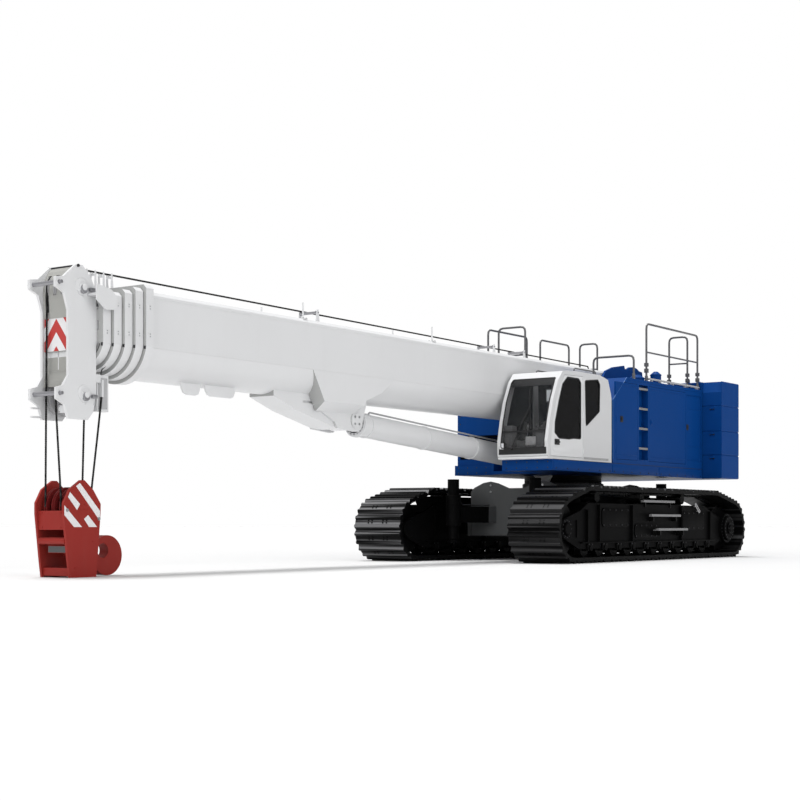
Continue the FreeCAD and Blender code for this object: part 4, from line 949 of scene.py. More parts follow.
def coil_form() -> NodeForm:
    """Rope wound side by side on a drum whose axle is Y.

    Returns:
        The tree, ready to grow.
    """
    form = NodeForm("drum_coils", {"Turns": ("Float", 20.0), "Drum Radius": ("Float", 0.2), "Width": ("Float", 0.8),
                                   "Rope Radius": ("Float", 0.012), "Centre": ("Vector", (0.0, 0.0, 0.0))})
    helix = form.wire("GeometryNodeCurveSpiral",
                      sockets={"Resolution": 18, "Rotations": form.given("Turns"),
                               "Start Radius": form.given("Drum Radius"), "End Radius": form.given("Drum Radius"),
                               "Height": form.given("Width")})
    ring = form.wire("GeometryNodeCurvePrimitiveCircle", sockets={"Resolution": 6, "Radius": form.given("Rope Radius")})
    coil = form.wire("GeometryNodeCurveToMesh", sockets={"Curve": helix, "Profile Curve": ring, "Fill Caps": True})
    turn = form.wire("GeometryNodeTransform",
                     sockets={"Geometry": coil, "Rotation": (math.radians(-90), 0.0, 0.0),
                              "Translation": form.given("Centre")})
    form.close(turn, smooth=True)
    return form


def link_form() -> NodeForm:
    """A track link with two slim sides on each point.

    Returns:
        The tree, ready to grow.
    """
    form = NodeForm("links", {"Length": ("Float", 0.2), "Height": ("Float", 0.035), "Width": ("Float", 0.02),
                              "Spread": ("Float", 0.04)})
    sides = []
    for sign in (1.0, -1.0):
        size = form.wire("ShaderNodeCombineXYZ",
                         sockets={0: form.given("Length"), 1: form.given("Width"), 2: form.given("Height")})
        bar = form.wire("GeometryNodeMeshCube", sockets={"Size": size}, output="Mesh")
        place = form.wire("ShaderNodeCombineXYZ",
                          sockets={1: form.given("Spread") * sign, 2: form.given("Height") * 0.5})
        sides.append(form.wire("GeometryNodeTransform", sockets={"Geometry": bar, "Translation": place}))
    form.close(form.spread(form.joined(*sides), form.points_to("facing", "along")))
    return form


@dataclass
class Forms:
    """The trees that the sub-assemblies share."""

    bolts: NodeForm = field(default_factory=bolt_form)
    bars: NodeForm = field(default_factory=bar_form)
    tubes: NodeForm = field(default_factory=tube_form)
    strands: NodeForm = field(default_factory=strand_form)
    coils: NodeForm = field(default_factory=coil_form)
    links: NodeForm = field(default_factory=link_form)


# Mesh work


def carrier(points: Sequence[Point], facing: Sequence[Point] | None = None, along: Sequence[Point] | None = None,
            closed: bool | None = None) -> bpy.types.Mesh:
    """Points, or a line through them, for a tree to read.

    Args:
        points: The places.
        facing: The direction that each repeat's top points to.
        along: The direction that each repeat's length follows.
        closed: None for loose points, else whether the line meets its start.

    Returns:
        The carrier mesh.
    """
    mesh = bpy.data.meshes.new("carrier")
    edges = []
    if closed is not None:
        edges = [(i, i + 1) for i in range(len(points) - 1)] + ([(len(points) - 1, 0)] if closed else [])
    mesh.from_pydata(points, edges, [])
    for name, values in (("facing", facing), ("along", along)):
        if values:
            stored = mesh.attributes.new(name, "FLOAT_VECTOR", "POINT")
            stored.data.foreach_set("vector", [c for v in values for c in v])
    return mesh


class Shape:
    """One piece's mesh, put together from bevelled bars, plates and turned parts."""

    def __init__(self, name: str) -> None:
        """Starts an empty piece."""
        self.name = name
        self.whole = bmesh.new()

    def _take(self, part: bmesh.types.BMesh, bevel: float, segments: int = 2) -> "Shape":
        """Bevels a part's edges and adds it.

        Args:
            part: The part, used up here.
            bevel: The bevel's width, 0 for none.
            segments: Faces across the bevel.

        Returns:
            This shape.
        """
        bmesh.ops.remove_doubles(part, verts=part.verts, dist=1e-6)
        bmesh.ops.recalc_face_normals(part, faces=part.faces)
        if bevel > 0:
            sharp = [e for e in part.edges if len(e.link_faces) == 2 and e.calc_face_angle(0.0) > 0.5]
            bmesh.ops.bevel(part, geom=sharp, offset=bevel, segments=segments, profile=0.7, affect="EDGES",
                            clamp_overlap=True)
        mesh = bpy.data.meshes.new("part")
        part.to_mesh(mesh)
        part.free()
        self.whole.from_mesh(mesh)
        bpy.data.meshes.remove(mesh)
        return self

    def block(self, low: Point, high: Point, bevel: float = 0.004, turn: Matrix | None = None) -> "Shape":
        """Adds a bar between two corners.

        Args:
            low: One corner.
            high: The opposite corner.
            bevel: The edge rounding.
            turn: A rotation about the bar's middle.

        Returns:
            The shape itself.
        """
        part = bmesh.new()
        size = [abs(b - a) for a, b in zip(low, high)]
        middle = Vector([(a + b) / 2 for a, b in zip(low, high)])
        bmesh.ops.create_cube(part, size=1.0, matrix=Matrix.Diagonal((*size, 1.0)))
        bmesh.ops.transform(part, matrix=Matrix.Translation(middle) @ (turn or Matrix.Identity(4)), verts=part.verts)
        return self._take(part, min(bevel, min(size) * 0.3))

    def plate(self, outline: Sequence[Pair], axis: Axis, low: float, high: float, bevel: float = 0.002) -> "Shape":
        """Adds a flat plate.

        Args:
            outline: Points in the two other axes, in order x, y, z.
            axis: The axis of its thickness.
            low: One face's place on that axis.
            high: The other face's place.
            bevel: The edge rounding.

        Returns:
            The shape itself.
        """
        part = bmesh.new()
        rings = []
        for level in sorted((low, high)):
            ring = []
            for a, b in outline:
                place = [a, b]
                place.insert(axis.value, level)
                ring.append(part.verts.new(place))
            rings.append(ring)
        count = len(outline)
        part.faces.new(rings[0])
        part.faces.new(rings[1])
        for i in range(count):
            j = (i + 1) % count
            part.faces.new((rings[0][i], rings[0][j], rings[1][j], rings[1][i]))
        return self._take(part, bevel)

    def turned(self, centre: Point, direction: Point, profile: Sequence[Pair], sides: int = 24) -> "Shape":
        """Adds a part turned about an axle.

        Args:
            centre: A point on the axle.
            direction: The axle's direction.
            profile: Distance along the axle and radius, from one end to the other.
            sides: How many faces go round.

        Returns:
            The shape itself.
        """
        part = bmesh.new()
        turn = Vector((0, 0, 1)).rotation_difference(Vector(direction)).to_matrix().to_4x4()
        frame = Matrix.Translation(Vector(centre)) @ turn
        rings = []
        for travel, radius in profile:
            if radius < 1e-6:
                rings.append([part.verts.new(frame @ Vector((0, 0, travel)))])
                continue
            rings.append([part.verts.new(frame @ Vector((radius * math.cos(2 * math.pi * i / sides),
                                                         radius * math.sin(2 * math.pi * i / sides), travel)))
                          for i in range(sides)])
        for first, second in zip(rings, rings[1:]):
            for i in range(sides):
                j = (i + 1) % sides
                corners = [first[i % len(first)], first[j % len(first)], second[j % len(second)],
                           second[i % len(second)]]
                unique = list(dict.fromkeys(corners))
                if len(unique) > 2:
                    part.faces.new(unique)
        for ring in (rings[0], rings[-1]):
            if len(ring) > 2:
                part.faces.new(ring)
        return self._take(part, 0.0)

    def rod(self, start: Point, end: Point, radius: float, sides: int = 16, chamfer: float = 0.0) -> "Shape":
        """Adds a round bar between two points, with chamfered ends if asked.

        Args:
            start: The middle of its first end.
            end: The middle of its other end.
            radius: Its radius.
            sides: How many sides it has.
            chamfer: The chamfer at its ends, 0 for none.

        Returns:
            This shape.
        """
        line = Vector(end) - Vector(start)
        length = line.length
        profile = [(0.0, radius), (length, radius)]
        if chamfer:
            profile = [(0.0, radius - chamfer), (chamfer, radius), (length - chamfer, radius),
                       (length, radius - chamfer)]
        return self.turned(start, tuple(line), profile, sides)

    def mirrored(self) -> "Shape":
        """Adds the same on the other side of the middle plane.

        Returns:
            This shape.
        """
        twin = bpy.data.meshes.new("twin")
        self.whole.to_mesh(twin)
        twin.transform(Matrix.Diagonal((1.0, -1.0, 1.0, 1.0)))
        twin.flip_normals()
        self.whole.from_mesh(twin)
        bpy.data.meshes.remove(twin)
        return self

    def done(self, finish: Finish, smooth: float = 32.0) -> bpy.types.Object:
        """Turns the work into one object.

        Args:
            finish: The material.
            smooth: The angle in degrees below which faces shade as one.

        Returns:
            The object.
        """
        mesh = bpy.data.meshes.new(self.name)
        self.whole.to_mesh(mesh)
        self.whole.free()
        mesh.materials.append(finish.material())
        mesh.shade_smooth()
        mesh.set_sharp_from_angle(angle=math.radians(smooth))
        made = bpy.data.objects.new(self.name, mesh)
        bpy.context.scene.collection.objects.link(made)
        return made


class Assembly:
    """What every sub-assembly shares: the frame, the trees and how a piece is fitted."""

    body = ""
    dressing: dict[str, Finish] = {}

    def __init__(self, frame: dict, forms: Forms) -> None:
        """Keeps the frame and the shared trees.

        Args:
            forms: The Geometry Nodes trees.
        """
        self.frame = frame
        self.forms = forms

    def paint(self, node: str, finish: Finish) -> None:
        """Gives a CAD node its finish.

        Args:
            node: The CAD node's name.
            finish: Its finish.
        """
        held = self.frame["nodes"][node]
        for thing in held if isinstance(held, (list, tuple)) else [held]:
            if not thing.material_slots:
                thing.data.materials.append(finish.material())
            for slot in thing.material_slots:
                slot.material = finish.material()

    def fit(self, piece: bpy.types.Object, slot: str, body: str | None = None) -> bpy.types.Object:
        """Makes a piece ride on a body.

        Args:
            piece: The piece.
            slot: Its slot in the record, not used.
            body: The body it rides on, or the assembly's own.

        Returns:
            The same piece.
        """
        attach(piece, body or self.body)
        LOG.info("%s rides on %s", piece.name, body or self.body)
        return piece

    def place(self, shape: Shape, finish: Finish, body: str | None = None, slot: str = "") -> bpy.types.Object:
        """Ends a shape in a finish and fits it."""
        return self.fit(shape.done(finish), slot or finish.slot, body)

    def bolts(self, name: str, rows: Iterable[tuple[Point, Point]], size: float, slot: str,
              body: str | None = None, finish: Finish = ZINC) -> bpy.types.Object:
        """Fits hexagon bolts.

        Args:
            name: The piece's name.
            rows: Each bolt's place and the way its head points.
            size: The head's radius.
            slot: The record's material slot.
            body: The body it rides on, if not the assembly's own.
            finish: The bolts' finish.

        Returns:
            The piece.
        """
        rows = list(rows)
        mesh = carrier([p for p, _ in rows], [d for _, d in rows])
        made = self.forms.bolts.grow(name, mesh, finish, Head_Radius=size, Head_Height=size * 0.75,
                                     Washer_Radius=size * 1.45, Washer_Height=size * 0.22)
        return self.fit(made, slot, body)

    def bars(self, name: str, count: int, start: Point, step: Point, bar: Point, finish: Finish, slot: str = "",
             tilt: Point = (0.0, 0.0, 0.0), body: str | None = None) -> bpy.types.Object:
        """Fits a row of equal bars."""
        made = self.forms.bars.grow(name, carrier([(0.0, 0.0, 0.0)]), finish, Count=count, Start=start, Step=step,
                                    Bar=bar, Tilt=tilt)
        return self.fit(made, slot or finish.slot, body)

    def tube(self, name: str, points: Sequence[Point], radius: float, finish: Finish, slot: str = "",
             bend: float = 0.05, closed: bool = False, sides: int = 10, body: str | None = None) -> bpy.types.Object:
        """Fits a round tube along a line of points."""
        made = self.forms.tubes.grow(name, carrier(points, closed=closed), finish, Radius=radius, Bend=bend,
                                     Sides=sides)
        return self.fit(made, slot or finish.slot, body)

    def dress(self) -> None:
        """Paints the assembly's nodes and builds its pieces."""
        for node, finish in self.dressing.items():
            self.paint(node, finish)
        self.build()

    def build(self) -> None:
        """Builds the assembly's own pieces."""


UP: Point = (0.0, 0.0, 1.0)
AHEAD: Point = (1.0, 0.0, 0.0)
ACROSS: Point = (0.0, 1.0, 0.0)


def outward(side: float) -> Point:
    """The direction straight out to a side, 1 for left and -1 for right."""
    return (0.0, math.copysign(1.0, side), 0.0)


def circle(centre: Point, axis: Axis, radius: float, count: int, sign: float = 1.0,
           start: float = 0.0) -> list[tuple[Point, Point]]:
    """Bolt places on a circle, all pointing along the axis.

    Args:
        centre: The circle's middle.
        axis: Its axis.
        radius: Its radius.
        count: How many places.
        sign: Which way along the axis the heads point.
        start: The first place's angle.

    Returns:
        Places with their directions.
    """
    facing = [0.0, 0.0, 0.0]
    facing[axis.value] = sign
    rows = []
    for i in range(count):
        angle = start + 2 * math.pi * i / count
        place = [radius * math.cos(angle), radius * math.sin(angle)]
        place.insert(axis.value, 0.0)
        rows.append((tuple(c + d for c, d in zip(centre, place)), tuple(facing)))
    return rows


def grid(corners: Sequence[Point], facing: Point) -> list[tuple[Point, Point]]:
    """Bolt places that all point one way."""
    return [(tuple(c), facing) for c in corners]


def spaced(low: float, high: float, count: int) -> list[float]:
    """Even steps from low to high."""
    return [low + (high - low) * i / (count - 1) for i in range(count)] if count > 1 else [(low + high) / 2]


# Studio


@dataclass
class Studio:
    """Floor, light and camera."""

    floor_half: float = 400.0
    sensor_mm: float = 36.0
    image_px: float = 800.0
    focal_px: float = 1543.4
    horizon_px: float = 524.24
    eye: Point = (26.615, 14.665, 0.67)
    look: Point = (-0.8204, -0.5719, 0.0)

    def floor(self) -> None:
        """Lays the white floor."""
        half = self.floor_half
        mesh = bpy.data.meshes.new("studio_floor")
        mesh.from_pydata([(-half, -half, 0), (half, -half, 0), (half, half, 0), (-half, half, 0)], [], [(0, 1, 2, 3)])
        mesh.materials.append(StudioFloor("studio_floor").material())
        made = bpy.data.objects.new("studio_floor", mesh)
        bpy.context.scene.collection.objects.link(made)

    def sun(self, name: str, towards: Point, strength: float, spread: float) -> None:
        """Adds one soft sun.

        Args:
            name: Its name.
            towards: The way that its light travels.
            strength: Its strength.
            spread: Its angle in degrees; more is softer.
        """
        light = bpy.data.lights.new(name, "SUN")
        light.energy, light.angle = strength, math.radians(spread)
        made = bpy.data.objects.new(name, light)
        made.rotation_euler = Vector(towards).to_track_quat("-Z", "Y").to_euler()
        bpy.context.scene.collection.objects.link(made)

    def sky(self) -> None:
        """A white backdrop for the camera and a dimmer, graded room for the light."""
        world = bpy.data.worlds.new("studio")
        bpy.context.scene.world = world
        world.use_nodes = True
        recipe = Recipe(world.node_tree)
        recipe.tree.nodes.clear()
        direction = recipe.wire("ShaderNodeTexCoord", output="Generated")
        split = recipe.node("ShaderNodeSeparateXYZ", sockets={0: direction})
        x, y, up = (Wire(recipe, split.outputs[i]) for i in range(3))
        ahead = (x * 0.82 - y * 0.57).ramp(-0.7, 0.8)
        strength = 0.16 + up.ramp(0.1, 0.9) * 0.36 + ahead * 0.30
        seen = recipe.wire("ShaderNodeLightPath", output="Is Camera Ray")
        level = recipe.wire("ShaderNodeMix", {"data_type": "FLOAT"}, {0: seen, 2: strength, 3: 1.0}, 0)
        back = recipe.wire("ShaderNodeBackground", sockets={"Color": (1.0, 1.0, 1.0, 1.0), "Strength": level})
        recipe.node("ShaderNodeOutputWorld", sockets={"Surface": back})

    def camera(self) -> None:
        """Sets up the photograph's view."""
        data = bpy.data.cameras.new("camera")
        data.sensor_width = self.sensor_mm
        data.lens = self.sensor_mm * self.focal_px / self.image_px
        data.shift_y = (self.horizon_px - self.image_px / 2) / self.image_px
        data.clip_end = 500.0
        made = bpy.data.objects.new("camera", data)
        made.location = self.eye
        made.rotation_euler = Vector(self.look).to_track_quat("-Z", "Y").to_euler()
        bpy.context.scene.collection.objects.link(made)
        bpy.context.scene.camera = made

    def build(self) -> None:
        """Builds the studio."""
        self.camera()
        self.floor()
        self.sky()
        self.sun("overhead_light", (0.06, 0.16, -1.0), 2.4, 16.0)
        self.sun("front_light", (-0.90, -0.10, -0.42), 0.75, 40.0)
        self.sun("left_light", (-0.10, -1.0, -0.45), 0.82, 50.0)
        view = bpy.context.scene.view_settings
        view.view_transform, view.look = "Standard", "None"


# Crawlers


@dataclass
class CrawlerSizes:
    """Where a crawler's parts are, from its own middle plane."""

    middle: float = 1.62
    half_length: float = 4.005
    top: float = 1.35
    end_radius: float = 0.59
    top_front: float = 2.86
    top_rear: float = -2.60
    shoes: int = 54
    bar: float = 0.026
    pad: float = 0.07
    frame_face: float = 0.29
    wheel_x: float = 3.415
    roller_z: float = 0.247
    roller_pitch: float = 0.56
    rollers: int = 10


class Crawler(Assembly):
    """One crawler: finishes, shoe bolts, chain, caps, covers and pipes."""

    def __init__(self, frame: dict, forms: Forms, side: Side) -> None:
        """Chooses the side.

        Args:
            forms: The Geometry Nodes trees.
            side: Left or right.
        """
        super().__init__(frame, forms)
        self.side = side
        self.size = CrawlerSizes()
        self.body = f"crawler_{side.label}"
        tag = side.label
        self.dressing = {f"track_{tag}": TREAD if side is Side.LEFT else HIGHLIT_TREAD, f"side_frame_{tag}": BLACK,
                         f"idler_{tag}": TREAD, f"sprocket_{tag}": TREAD, f"final_drive_{tag}": BLACK,
                         f"rollers_{tag}": TREAD,
                         f"axle_beams_{tag}": BLACK, f"track_steps_{tag}": TRACK_STEPS}

    def line(self) -> list[Pair]:
        """The shoes' outer line, x and z.

        Returns:
            The points, in order.
        """
        s = self.size
        front, rear = (s.half_length - s.end_radius, s.end_radius), (-(s.half_length - s.end_radius), s.end_radius)

        def leave(centre: Pair, corner: Pair) -> tuple[float, float]:
            """The angle to a corner, and half the angle that the wheel hides."""
            dx, dz = corner[0] - centre[0], corner[1] - centre[1]
            return math.atan2(dz, dx), math.acos(s.end_radius / math.hypot(dx, dz))

        def arc(centre: Pair, start: float, end: float) -> list[Pair]:
            """Points round an end wheel."""
            return [(centre[0] + s.end_radius * math.cos(a), centre[1] + s.end_radius * math.sin(a))
                    for a in spaced(start, end, 41)]

        base, half = leave(front, (s.top_front, s.top))
        points = [(rear[0], 0.0), (front[0], 0.0)] + arc(front, -math.pi / 2, base - half)
        base, half = leave(rear, (s.top_rear, s.top))
        return points + [(s.top_front, s.top), (s.top_rear, s.top)] + arc(rear, base + half, 1.5 * math.pi)

    def walk(self, points: list[Pair], distance: float) -> tuple[float, float, float, float]:
        """The point and heading at a distance along the closed line.

        Args:
            points: The closed line.
            distance: How far along it.

        Returns:
            The point's x and z, and the heading's x and z.
        """
        for (xa, za), (xb, zb) in zip(points, points[1:] + points[:1]):
            length = math.hypot(xb - xa, zb - za)
            if length > 1e-9 and distance <= length:
                t = distance / length
                return xa + (xb - xa) * t, za + (zb - za) * t, (xb - xa) / length, (zb - za) / length
            distance -= length
        return self.walk(points, 1e-6)

    def shoe_fittings(self) -> None:
        """Bolts on every shoe's pad and a pair of chain links behind it."""
        s, line = self.size, self.line()
        total = sum(math.dist(a, b) for a, b in zip(line, line[1:] + line[:1]))
        pitch = total / s.shoes
        middle = self.side.value * s.middle
        bolts, links, backs, alongs = [], [], [], []
        for i in range(s.shoes):
            x, z, ux, uz = self.walk(line, pitch * (i + 0.475))
            out = (uz, 0.0, -ux)
            for across in (-0.20, -0.12, 0.12, 0.20):
                for shift in (-0.022, 0.022):
                    bolts.append(((x - uz * s.bar + ux * shift, middle + across, z + ux * s.bar + uz * shift), out))
            deep = s.bar + s.pad
            links.append((x - uz * deep, middle, z + ux * deep))
            backs.append((-uz, 0.0, ux))
            alongs.append((ux, 0.0, uz))
        tag = self.side.label
        self.bolts(f"shoe_bolts_{tag}", bolts, 0.012, "track_black", finish=TREAD)
        made = self.forms.links.grow(f"chain_links_{tag}", carrier(links, backs, alongs), TREAD, Length=pitch * 0.93,
                                     Height=0.036, Width=0.022, Spread=0.038)
        self.fit(made, "track_black")

    def end_caps(self) -> None:
        """Hub caps, gear case bolts and the idler's yoke on both faces of the frame."""
        s, tag, sign = self.size, self.side.label, self.side.value
        face = sign * (s.middle + s.frame_face)
        inner = sign * (s.middle - s.frame_face)
        caps = Shape(f"hub_caps_{tag}")
        out = outward(sign)
        back = outward(-sign)
        caps.turned((s.wheel_x, face, s.end_radius), out,
                    [(0.0, 0.19), (0.03, 0.19), (0.045, 0.175), (0.045, 0.12),
                     (0.075, 0.11), (0.085, 0.095), (0.085, 0.0)], 32)
        caps.turned((s.wheel_x, inner, s.end_radius), back,
                    [(0.0, 0.16), (0.025, 0.16), (0.035, 0.15), (0.035, 0.0)], 28)
        caps.turned((-s.wheel_x, face + sign * 0.14, s.end_radius), out, [(0.0, 0.085), (0.018, 0.08), (0.018, 0.0)], 6)
        for x in (2.95, 3.20):
            caps.block((x, face, 0.44), (x + 0.05, face + sign * 0.02, 0.74), 0.004)
        self.place(caps, BLACK)
        rows = circle((s.wheel_x, face + sign * 0.045, s.end_radius), Axis.Y, 0.147, 12, sign)
        rows += circle((-s.wheel_x, face + sign * 0.06, s.end_radius), Axis.Y, 0.275, 24, sign)
        rows += circle((-s.wheel_x, face + sign * 0.11, s.end_radius), Axis.Y, 0.215, 18, sign)
        rows += circle((-s.wheel_x, face + sign * 0.14, s.end_radius), Axis.Y, 0.103, 6, sign)
        self.bolts(f"hub_bolts_{tag}", rows, 0.012, "chassis_black", finish=DARK_STEEL)

    def roller_brackets(self) -> None:
        """Each roller's clamp on both skirts, with its bolts and its oil plug."""
        s, tag = self.size, self.side.label
        shape = Shape(f"roller_brackets_{tag}")
        rows = []
        for sign in (1, -1):
            face = self.side.value * s.middle + sign * s.frame_face
            for i in range(s.rollers):
                x = (i - (s.rollers - 1) / 2) * s.roller_pitch
                shape.plate([(x - 0.085, 0.205), (x + 0.085, 0.205), (x + 0.105, 0.30), (x + 0.07, 0.35),
                             (x - 0.07, 0.35), (x - 0.105, 0.30)], Axis.Y, face, face + sign * 0.022, 0.003)
                shape.turned((x, face + sign * 0.022, s.roller_z), outward(sign),
                             [(0.0, 0.045), (0.012, 0.045), (0.018, 0.038), (0.018, 0.0)], 18)
                rows += [((x + dx, face + sign * 0.022, 0.32), outward(sign)) for dx in (-0.055, 0.055)]
        self.place(shape, BLACK)
        self.bolts(f"roller_bolts_{tag}", rows, 0.012, "chassis_black", finish=DARK_STEEL)

    def frame_covers(self) -> None:
        """Bolted covers, ribs and the greasing hatch on the frame's outer face."""
        s, tag, sign = self.size, self.side.label, self.side.value
        face = sign * (s.middle + s.frame_face)
        deep = sorted((face, face + sign * 0.014))
        shape = Shape(f"frame_covers_{tag}")
        rows = []
        for x0, x1, z0, z1 in ((1.0, 2.05, 0.62, 0.96), (-2.35, -1.35, 0.56, 0.92), (-0.2, 0.75, 0.42, 0.68)):
            c = 0.06
            shape.plate([(x0 + c, z0), (x1 - c, z0), (x1, z0 + c), (x1, z1 - c), (x1 - c, z1), (x0 + c, z1),
                         (x0, z1 - c), (x0, z0 + c)], Axis.Y, *deep, 0.003)
            rows += [((x, face + sign * 0.014, z), outward(sign))
                     for x in spaced(x0 + 0.05, x1 - 0.05, 5) for z in (z0 + 0.035, z1 - 0.035)]
        ribs = sorted((face, face + sign * 0.05))
        for x in (-2.62, -1.25, 0.88, 2.18, 2.62):
            shape.plate([(x, 0.36), (x + 0.024, 0.36), (x + 0.024, 1.02 if abs(x) < 2.5 else 0.93),
                         (x, 1.02 if abs(x) < 2.5 else 0.93)], Axis.Y, *ribs, 0.002)
        shape.block((-2.85, ribs[0], 0.335), (2.85, ribs[1], 0.36), 0.003)
        self.place(shape, BLACK)
        self.bolts(f"cover_bolts_{tag}", rows, 0.012, "chassis_black", finish=DARK_STEEL)
        handle = [(-1.86, 1.085), (-2.09, 0.915), (-2.02, 0.905), (-1.82, 1.055)]
        self.tube(f"hatch_handle_{tag}", [(x, face + sign * 0.055, z) for x, z in handle], 0.011, PALE_GREY,
                  "step_light", bend=0.02, closed=True)
        self.bars(f"hatch_stays_{tag}", 2, (-1.90, face + sign * 0.024, 1.02), (-0.13, 0.0, -0.09),
                  (0.02, 0.06, 0.02), PALE_GREY, "step_light")

    def step_grips(self) -> None:
        """Raised studs along each boarding step and the hoses to the drive motor."""
        tag, sign = self.side.label, self.side.value
        for row, (x0, x1, z, reach) in enumerate(((-0.91, 0.45, 1.12, 1.96), (-1.03, 0.25, 0.855, 2.03),
                                                  (-1.20, 0.10, 0.59, 2.10))):
            self.bars(f"step_studs_{tag}_{row + 1}", 34, (x0 + 0.03, sign * (reach - 0.03), z + 0.002),
                      ((x1 - x0 - 0.06) / 33, 0.0, 0.0), (0.016, 0.048, 0.006), STEP_GREY)
        y = sign * (self.size.middle - self.size.frame_face)
        for n, (dy, dz) in enumerate(((0.05, 0.0), (0.09, 0.05), (0.13, 0.0))):
            self.tube(f"drive_hose_{tag}_{n + 1}",
                      [(-1.74, y - sign * (0.02 + dy), 0.86 + dz), (-2.4, y - sign * (0.03 + dy), 0.84 + dz),
                       (-2.9, y - sign * (0.05 + dy), 0.72 + dz), (-3.25, y - sign * 0.15, 0.60 + dz * 0.6)],
                      0.016, HOSE, bend=0.18)
        plates = Shape(f"frame_inner_plates_{tag}")
        deep = sorted((y, y - sign * 0.05))
        for x in (-2.55, -0.75, 0.75, 2.55):
            plates.plate([(x, 0.36), (x + 0.024, 0.36), (x + 0.024, 0.93), (x, 0.93)], Axis.Y, *deep, 0.002)
        plates.block((-2.85, deep[0], 0.335), (2.85, deep[1], 0.36), 0.003)
        screen = [(-2.45, 1.03), (2.5, 1.03), (2.86, 0.90), (2.97, 0.90), (3.10, 1.09), (2.80, 1.19), (-2.45, 1.19)]
        plates.plate(screen, Axis.Y, y + sign * 0.04, y + sign * 0.052, 0.002)
        self.place(plates, BLACK)

    def build(self) -> None:
        """Builds the crawler's pieces."""
        self.shoe_fittings()
        self.end_caps()
        self.roller_brackets()
        self.frame_covers()
        self.step_grips()


@dataclass(frozen=True)
class CarbodySizes:
    """Where the middle frame's parts are."""

    ring_radius: float = 0.77
    ring_foot: float = 1.445
    face: float = 1.79
    shroud_back: float = 1.765
    cover_face: float = 1.76
    cover_half: float = 0.30
    cover_low: float = 0.56
    cover_high: float = 0.92
    jack_x: float = 2.6
    jack_y: float = 0.87


class Carbody(Assembly):
    """The middle frame: ring bolts, cover plates, hoses and jack bands."""

    body = "carbody"
    size = CarbodySizes()
    dressing = {"carbody": CARBODY_PAINT, "carbody_jacks": BLACK, "slew_ring": BLACK}

    def ring(self) -> None:
        """The slewing ring's lower bolts and its seal."""
        rows = circle((0.0, 0.0, self.size.ring_foot), Axis.Z, self.size.ring_radius, 64)
        self.bolts("ring_bolts", rows, 0.012, "carbody_grey", finish=DARK_STEEL)
        seal = Shape("ring_seal")
        seal.turned((0.0, 0.0, 1.447), UP, [(0.0, 0.758), (0.012, 0.758), (0.02, 0.752), (0.02, 0.745)], 72)
        self.place(seal, RUBBER)

    def covers(self) -> None:
        """Bolted cover plates on the front and rear of the middle box and on the housings."""
        s = self.size
        shape = Shape("carbody_covers")
        rows = []
        for end in (1, -1):
            x = end * s.cover_face
            deep = sorted((x, x + end * 0.012))
            shape.plate([(-s.cover_half, s.cover_low), (s.cover_half, s.cover_low), (s.cover_half, s.cover_high),
                         (-s.cover_half, s.cover_high)], Axis.X, *deep, 0.003)
            rows += [((x + end * 0.012, y, z), (float(end), 0.0, 0.0))
                     for y in spaced(-s.cover_half + 0.05, s.cover_half - 0.05, 4) for z in (0.60, 0.88)]
            for side in (1, -1):
                shape.block((end * s.face - 0.03, side * 0.98, 0.46), (end * s.face, side * 1.02, 1.0), 0.004)
        for x in spaced(-1.0, 1.0, 5):
            for side in (1, -1):
                shape.plate([(x, 1.20), (x + 0.02, 1.20), (x + 0.02, 1.33), (x, 1.33)], Axis.Y,
                            side * 0.74, side * 0.93, 0.002)
        self.place(shape, CARBODY_GREY)
        self.bolts("carbody_bolts", rows, 0.014, "carbody_grey")

    def jacks(self) -> None:
        """Bands and hydraulic pipes on the four jacks."""
        s = self.size
        places = [(x, y) for x in (s.jack_x, -s.jack_x) for y in (s.jack_y, -s.jack_y)]
        bands = Shape("jack_bands")
        for x, y in places:
            for z, r in ((1.19, 0.142), (0.66, 0.143), (1.02, 0.143)):
                bands.turned((x, y, z), UP, [(-0.012, r - 0.004), (-0.008, r), (0.008, r), (0.012, r - 0.004)], 28)
        self.place(bands, BLACK)
        for n, (x, y) in enumerate(places):
            end, side = math.copysign(1, x), math.copysign(1, y)
            path = [(x - end * 0.14, y, 1.12), (x - end * 0.22, y, 1.12), (x - end * 0.30, y, 1.03),
                    (end * 1.85, side * 0.62, 1.03), (end * 1.70, side * 0.55, 1.03)]
            self.tube(f"jack_pipe_{n + 1}", path, 0.011, HOSE, bend=0.06)

    def front_housings(self) -> None:
        """The bolted front and rear shrouds with two humps, and the pale gusset under the turntable."""
        outline = [(-1.0, 0.47), (-1.0, 1.28), (-0.92, 1.36), (-0.72, 1.45), (-0.56, 1.475), (-0.40, 1.44),
                   (-0.16, 1.345), (0.16, 1.345), (0.40, 1.44), (0.56, 1.475), (0.72, 1.45), (0.92, 1.36),
                   (1.0, 1.28), (1.0, 0.47)]
        s = self.size
        shape = Shape("carbody_shrouds")
        rows = []
        for end in (1, -1):
            shape.plate(outline, Axis.X, end * s.shroud_back, end * s.face, 0.004)
            rows += [((end * s.face, y, z), (float(end), 0.0, 0.0)) for y in (-0.56, 0.56) for z in (1.28, 1.40)]
        self.place(shape, CARBODY_GREY)
        self.bolts("shroud_bolts", rows, 0.014, "carbody_grey")
        gusset = Shape("turntable_gusset")
        gusset.plate([(-0.22, 1.605), (-0.06, 1.46), (0.12, 1.46), (0.20, 1.605)], Axis.X, 0.752, 0.772, 0.003)
        self.place(gusset, PALE_GREY, "upper")

    def build(self) -> None:
        """Builds the middle frame's pieces."""
        self.front_housings()
        self.ring()
        self.covers()
        self.jacks()


# Upper frame and houses


